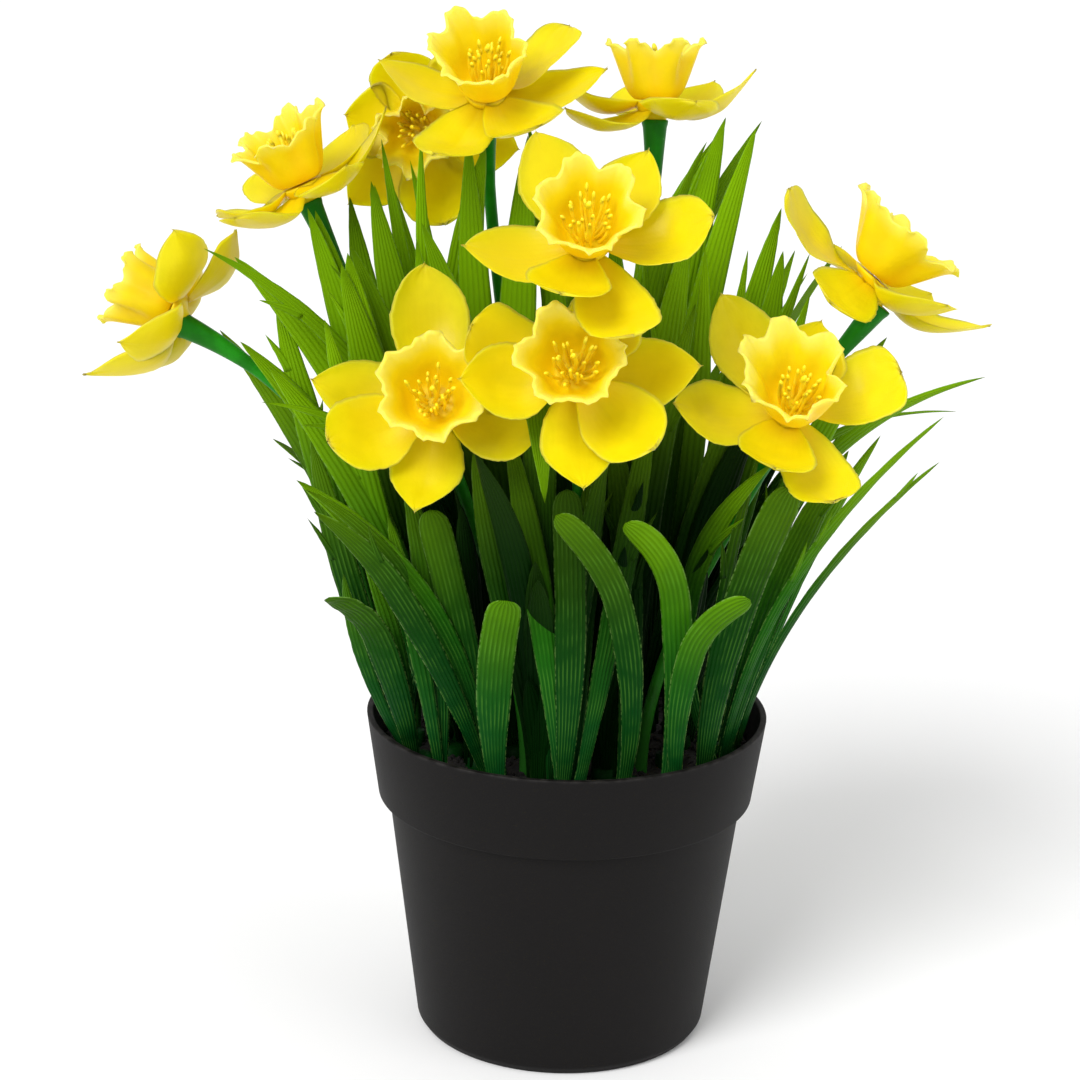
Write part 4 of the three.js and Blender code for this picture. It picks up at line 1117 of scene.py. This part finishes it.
def pot_profile():
    ledge_inside = POT["ledge"] + POT["wall"]
    outer = [
        (0, 1.0), (POT["flat"] - 4.5, 1.0), (POT["flat"] - 3.6, 0), (POT["flat"], 0),
        (POT["foot"], POT["foot_height"]), (POT["body_top"], POT["ledge"]),
        (POT["ledge_radius"], POT["ledge"]), (POT["rim"], POT["height"])]
    inner = [
        (POT["rim"] - POT["wall"], POT["height"]),
        (pot_collar_radius(ledge_inside) - POT["wall"], ledge_inside),
        (pot_body_radius(POT["ledge"]) - POT["wall"], POT["ledge"]),
        (pot_body_radius(POT["floor"]) - POT["wall"], POT["floor"]), (0, POT["floor"])]
    return rounded(outer + inner, 0.55)


def pot_material(settings):
    material, nodes, place = material_nodes("pot_plastic")
    height = nodes.axes(place)[2]
    cloud = nodes.noise(28.0, 3.0, place)
    colour = nodes.mottled(cloud.rising(0.3, 0.8), settings.colour, 0.88, 1.16)
    dust = nodes.noise(900.0, 4.0, place).rising(0.62, 0.8)
    colour = nodes.mix(dust * 0.1, colour, (0.035, 0.032, 0.030))
    # Wear, and a painted highlight along the top of the rim, in patches
    wear_and_rim_highlight = height.rising(0.0985, 0.0996) * nodes.noise(260.0, 3.0, place).rising(0.35, 0.7)
    colour = nodes.mix(wear_and_rim_highlight * 0.35, colour, (0.05, 0.046, 0.044))
    bump = nodes.bumped(nodes.noise(2600.0, 3.0, place), settings.grain * 2)
    close_material(
        nodes, Base_Color=colour, Roughness=0.56 + cloud * 0.1 + dust * 0.05, Normal=bump, IOR=1.45,
        Specular_IOR_Level=0.17)
    return material


def mix_material(settings):
    material, nodes, place = material_nodes("potting_mix")
    cloud = nodes.noise(380.0, 5.0, place)
    colour = nodes.mottled(cloud.rising(0.35, 0.7), settings.filling, 0.7, 2.2)
    close_material(nodes, Base_Color=colour, Roughness=0.92, Normal=nodes.bumped(cloud, 0.0012))
    return material


def crumb_tree():
    """Scatters angular crumbs over the parts that face up."""
    tree, nodes, given = geometry_tree(
        "Peat crumbs", Density="Float", Largest="Float", Least_height="Float", Seed="Int")
    seed = given.out("Seed")
    up = nodes.axes(nodes.add("GeometryNodeInputNormal"))[2]
    height = nodes.axes(nodes.position())[2]
    points = nodes.add("GeometryNodeDistributePointsOnFaces", {
        "Mesh": given.out("Geometry"), "Selection": (up > 0.5) * (height > given.out("Least height")),
        "Density": given.out("Density"), "Seed": seed}, distribute_method="RANDOM")
    crumb = nodes.add("GeometryNodeMeshIcoSphere", {
        "Radius": given.out("Largest") * 0.5, "Subdivisions": 2})
    lumps = nodes.noise(900.0, 2.0, nodes.position())
    rough = nodes.add("GeometryNodeSetPosition", {
        "Geometry": crumb, "Position": nodes.scaled(nodes.position(), 0.55 + lumps * 0.8)})

    crumbs = nodes.add("GeometryNodeInstanceOnPoints", {
        "Points": points, "Instance": rough,
        "Rotation": nodes.drawn(seed + 1, (0, 0, 0), (6.3, 6.3, 6.3)),
        "Scale": nodes.drawn(seed + 2, (0.25, 0.25, 0.2), (1.0, 0.8, 0.7))})
    close_tree(nodes, nodes.join(crumbs, given.out("Geometry")), given)
    return tree


def mix_grid():
    """The filling of the pot, with a softly heaped, uneven top."""
    draw = random.Random(SEEDS["heap"])
    wall = POT["wall"] + MIX_GAP
    foot = POT["floor"] + MIX_GAP
    ledge = POT["ledge"] + wall
    edge = pot_collar_radius(BLOCK_TOP) - wall
    side = [(0, foot), (pot_body_radius(foot) - wall, foot),
            (pot_body_radius(POT["ledge"]) - wall, POT["ledge"] + MIX_GAP),
            (pot_collar_radius(ledge) - wall, ledge), (edge, BLOCK_TOP - 1.2)]
    top = [(edge * share, BLOCK_TOP) for share in np.linspace(0.985, 0, MIX_RINGS)]
    grid = lathe_grid(side + top, MIX_SIDES)
    top = grid[len(side):]
    x, y = top[:, :, 0], top[:, :, 1]
    bumps = 0
    for _ in range(MIX_WAVES):
        kx, ky = draw.uniform(-0.45, 0.45), draw.uniform(-0.45, 0.45)
        bumps = bumps + np.sin(kx * x + ky * y + draw.uniform(0, 6.3))
    top[:, :, 2] += 0.22 * bumps - 0.5 * (np.hypot(x, y) / edge) ** 6
    return grid


# Operators

FLOOR_LEVEL = -0.05
FLOOR_REACH = 9000.0
CAMERA = {"elevation": 16.7, "roll": 1.2, "distance": 0.850, "aim": (-0.0091, 0, 0.1523),
          "sensor": 36.0, "lens": 36.0 * 2878 / 1080}
CAMERA_RANGE = (0.01, 50.0)
KEY_PLACE = (-0.75, -1.15, 1.35)
FILL_PLACE = (1.3, -0.9, 0.9)
LIGHT_AIM = Vector((0, 0, 0.16))
STAMEN = {"ring": 2.8, "height": 12.0, "thickness": 0.46, "sunk": 0.5}


def label(index):
    return f"{index + 1:02d}"


class DAFFODIL_OT_stage(bpy.types.Operator):
    """Puts up the floor, the lights and the camera"""

    bl_idname = "daffodil.stage"
    bl_label = "Stage"

    def execute(self, context):
        settings = context.scene.daffodil_stage
        material, nodes, _ = material_nodes("pale_floor")
        close_material(nodes, Base_Color=rgba(settings.floor_colour), Roughness=0.85,
                       Specular_IOR_Level=0.2)
        corners = np.array([(x, y, FLOOR_LEVEL) for y in (-FLOOR_REACH, FLOOR_REACH)
                            for x in (-FLOOR_REACH, FLOOR_REACH)])
        mesh = bpy.data.meshes.new("floor")
        mesh.from_pydata((corners * MM).tolist(), [], [(0, 1, 3, 2)])
        mesh.materials.append(material)
        new_piece("floor", mesh)
        self.lights(context, settings)
        self.camera(context)
        return {"FINISHED"}

    def lights(self, context, settings):
        world = bpy.data.worlds.new("studio")
        world.use_nodes = True
        nodes = Nodes(world.node_tree)
        glow = nodes.add("ShaderNodeBackground", {"Color": (1, 1, 1, 1), "Strength": settings.sky})
        nodes.add("ShaderNodeOutputWorld", {"Surface": glow})
        context.scene.world = world
        context.scene.view_settings.view_transform = "Standard"
        key = bpy.data.lights.new("key_light", "SUN")
        key.energy, key.angle = settings.key, math.radians(32)
        fill = bpy.data.lights.new("fill_light", "AREA")
        fill.energy, fill.size = settings.fill, 1.1
        for light, place in ((key, KEY_PLACE), (fill, FILL_PLACE)):
            lamp = new_piece(light.name, light)
            lamp.location = place
            lamp.rotation_euler = (LIGHT_AIM - lamp.location).to_track_quat("-Z", "Y").to_euler()

    def camera(self, context):
        elevation, roll = math.radians(CAMERA["elevation"]), math.radians(CAMERA["roll"])
        back = Vector((0, -math.cos(elevation), math.sin(elevation)))
        level = Vector((1, 0, 0))
        lifted = back.cross(level)
        right = level * math.cos(roll) + lifted * math.sin(roll)
        up = lifted * math.cos(roll) - level * math.sin(roll)
        place = Vector(CAMERA["aim"]) + back * CAMERA["distance"]
        data = bpy.data.cameras.new("camera")
        data.sensor_width, data.lens = CAMERA["sensor"], CAMERA["lens"]
        data.clip_start, data.clip_end = CAMERA_RANGE
        camera = new_piece("camera", data)
        camera.matrix_world = Matrix((
            (right.x, up.x, back.x, place.x), (right.y, up.y, back.y, place.y),
            (right.z, up.z, back.z, place.z), (0, 0, 0, 1)))
        context.scene.camera = camera


class DAFFODIL_OT_pot(bpy.types.Operator):
    """Makes the pot and what fills it"""

    bl_idname = "daffodil.pot"
    bl_label = "Pot and filling"

    def execute(self, context):
        settings = context.scene.daffodil_pot
        shell = closed_mesh(
            "pot_shell", [(lathe_grid(pot_profile(), POT_SIDES), {})], pot_material(settings))
        settle(new_piece("pot_shell", shell), "pot", "pot")
        filling = new_piece("potting_mix", closed_mesh("potting_mix", [(mix_grid(), {})]))
        run_tree(filling, crumb_tree(), {
            "Density": CRUMB_DENSITY, "Largest": settings.crumb, "Seed": SEEDS["crumbs"],
            "Least height": (BLOCK_TOP - CRUMB_DEPTH) * MM, "Material": mix_material(settings)})
        settle(filling, "potting", "potting_block")
        return {"FINISHED"}


class DAFFODIL_OT_stems(bpy.types.Operator):
    """Makes the stems with their flared sockets"""

    bl_idname = "daffodil.stems"
    bl_label = "Stems"

    def execute(self, context):
        settings = context.scene.daffodil_stem
        material, tree = stem_material(settings), stem_tree()
        for i, flower in enumerate(FLOWERS):
            name = f"flower_stem_{label(i)}"
            draw = random.Random(SEEDS["stems"] + i)
            chain = stem_chain(flower, settings.radius / MM, settings.socket_radius / MM, draw)
            stem = new_piece(name, chain_mesh(name, [chain]))
            run_tree(stem, tree, {"Sides": STEM_SIDES, "Material": material})
            settle(stem, "stem", f"stem_{label(i)}")
        return {"FINISHED"}


class DAFFODIL_OT_flowers(bpy.types.Operator):
    """Makes the petals, trumpets and stamens of every flower"""

    bl_idname = "daffodil.flowers"
    bl_label = "Flowers"

    def execute(self, context):
        settings = context.scene.daffodil_flower
        petals, trumpets, stamens = (
            make(settings) for make in (petal_material, trumpet_material, stamen_material))
        tree = stamen_tree()
        for i, flower in enumerate(FLOWERS):
            self.petals(i, flower, settings, petals)
            draw = random.Random(SEEDS["trumpets"] + i)
            grid, kept = trumpet_grid(flower, settings.frill * flower["ruffle"], draw)
            name = f"corona_{label(i)}"
            mesh = closed_mesh(name, [(placed(grid, flower), kept)], trumpets)
            settle(new_piece(name, mesh), "trumpet", f"trumpet_{label(i)}")
            self.stamens(i, flower, settings, stamens, tree)
        return {"FINISHED"}

    def petals(self, i, flower, settings, material):
        draw = random.Random(SEEDS["petals"] + i)
        grid, kept = hub_grid(flower.get("neck", STRAIGHT_NECK))
        patches = [(placed(grid, flower), kept)]
        for k, tepal in enumerate(flower["tepals"]):
            outer = int(k < 3)
            width = settings.petal_width / MM * TEPAL_WIDTHS[outer]
            grid, kept = tepal_grid(tepal, outer, width, settings.petal_thickness / MM, draw)
            patches.append((placed(grid, flower), kept))
        name = f"petals_{label(i)}"
        mesh = closed_mesh(name, patches, material)
        settle(new_piece(name, mesh), "tepal", f"perianth_{label(i)}")

    def stamens(self, i, flower, settings, material, tree):
        name = f"stamens_{label(i)}"
        piece = new_piece(name, bpy.data.meshes.new(name))
        run_tree(piece, tree, {
            "Count": settings.stamens, "Ring": STAMEN["ring"] * MM,
            "Height": flower.get("threads", STAMEN["height"]) * MM,
            "Thickness": STAMEN["thickness"] * MM, "Seed": 20 * i + 1, "Material": material})
        turn, heart = flower_frame(flower)
        place = heart + turn[:, 2] * (TRUMPET["foot"] + TRUMPET["floor"] - STAMEN["sunk"])
        piece.data.transform(Matrix.Translation(place * MM) @ Matrix(turn.tolist()).to_4x4())
        settle(piece, "trumpet")


class DAFFODIL_OT_leaves(bpy.types.Operator):
    """Makes the sprays of ribbed leaves"""

    bl_idname = "daffodil.leaves"
    bl_label = "Leaves"

    def execute(self, context):
        settings = context.scene.daffodil_leaf
        material, tree = leaf_material(settings), blade_tree()
        for i, (root, leaves) in enumerate(SPRAYS + back_sprays()):
            draw = random.Random(SEEDS["sprays"] + i)
            chains = [leaf_chain(root, leaf, draw) for leaf in leaves]
            for chain, leaf in list(zip(chains, leaves)):
                if not blunt_end(leaf):
                    chains += barb_chains(chain, draw)
            name = f"leaf_spray_{label(i)}"
            spray = self.spray(name, root, chains, LEAF_ROUND, settings, material, tree)
            settle(spray, "leaf", f"spray_{label(i)}")
        for i, (root, leaves) in enumerate(BETWEEN + fill_sprays()):
            draw = random.Random(SEEDS["fill"] + i)
            # The sprays after BETWEEN carry full painted shade, which makes them almost black
            painted_shade = float(i >= len(BETWEEN))
            chains = [leaf_chain(root, leaf, draw, FILL_ROWS, painted_shade) for leaf in leaves]
            name = f"leaf_fill_{label(i)}"
            spray = self.spray(name, root, chains, FILL_ROUND, settings, material, tree)
            settle(spray, "leaf")
        return {"FINISHED"}

    def spray(self, name, root, chains, sides, settings, material, tree):
        spray = new_piece(name, chain_mesh(name, chains))
        run_tree(spray, tree, {
            "Points round": sides, "Thickness": settings.thickness, "Edge flash": settings.flash,
            "Material": material, "Crown radius": CROWN_RADIUS * MM,
            "Crown foot": (root[0] * MM, root[1] * MM, CROWN_FOOT * MM),
            "Crown height": (CROWN_TOP - CROWN_FOOT) * MM})
        return spray


class DAFFODIL_PT_panel(bpy.types.Panel):
    """Lists the steps and sizes of the arrangement"""

    bl_label = "Potted daffodil"
    bl_idname = "DAFFODIL_PT_panel"
    bl_space_type = "VIEW_3D"
    bl_region_type = "UI"
    bl_category = "Daffodil"

    def draw(self, context):
        for operator, group in STEPS:
            box = self.layout.box()
            box.operator(operator.bl_idname)
            settings = getattr(context.scene, group)
            for name in settings.bl_rna.properties.keys():
                if name not in ("rna_type", "name"):
                    box.prop(settings, name)


STEPS = (
    (DAFFODIL_OT_stage, "daffodil_stage"),
    (DAFFODIL_OT_pot, "daffodil_pot"),
    (DAFFODIL_OT_stems, "daffodil_stem"),
    (DAFFODIL_OT_flowers, "daffodil_flower"),
    (DAFFODIL_OT_leaves, "daffodil_leaf"),
)
GROUPS = {
    "daffodil_stage": StageSettings, "daffodil_pot": PotSettings, "daffodil_stem": StemSettings,
    "daffodil_flower": FlowerSettings, "daffodil_leaf": LeafSettings,
}
CLASSES = (*GROUPS.values(), *(operator for operator, _ in STEPS), DAFFODIL_PT_panel)


def register():
    for kind in CLASSES:
        bpy.utils.register_class(kind)
    for name, group in GROUPS.items():
        setattr(bpy.types.Scene, name, bpy.props.PointerProperty(type=group))


def unregister():
    for name in GROUPS:
        delattr(bpy.types.Scene, name)
    for kind in reversed(CLASSES):
        bpy.utils.unregister_class(kind)


def main():
    register()
    bpy.ops.daffodil.stage()
    bpy.ops.daffodil.pot()
    bpy.ops.daffodil.stems()
    bpy.ops.daffodil.flowers()
    bpy.ops.daffodil.leaves()


if __name__ == "__main__":
    main()
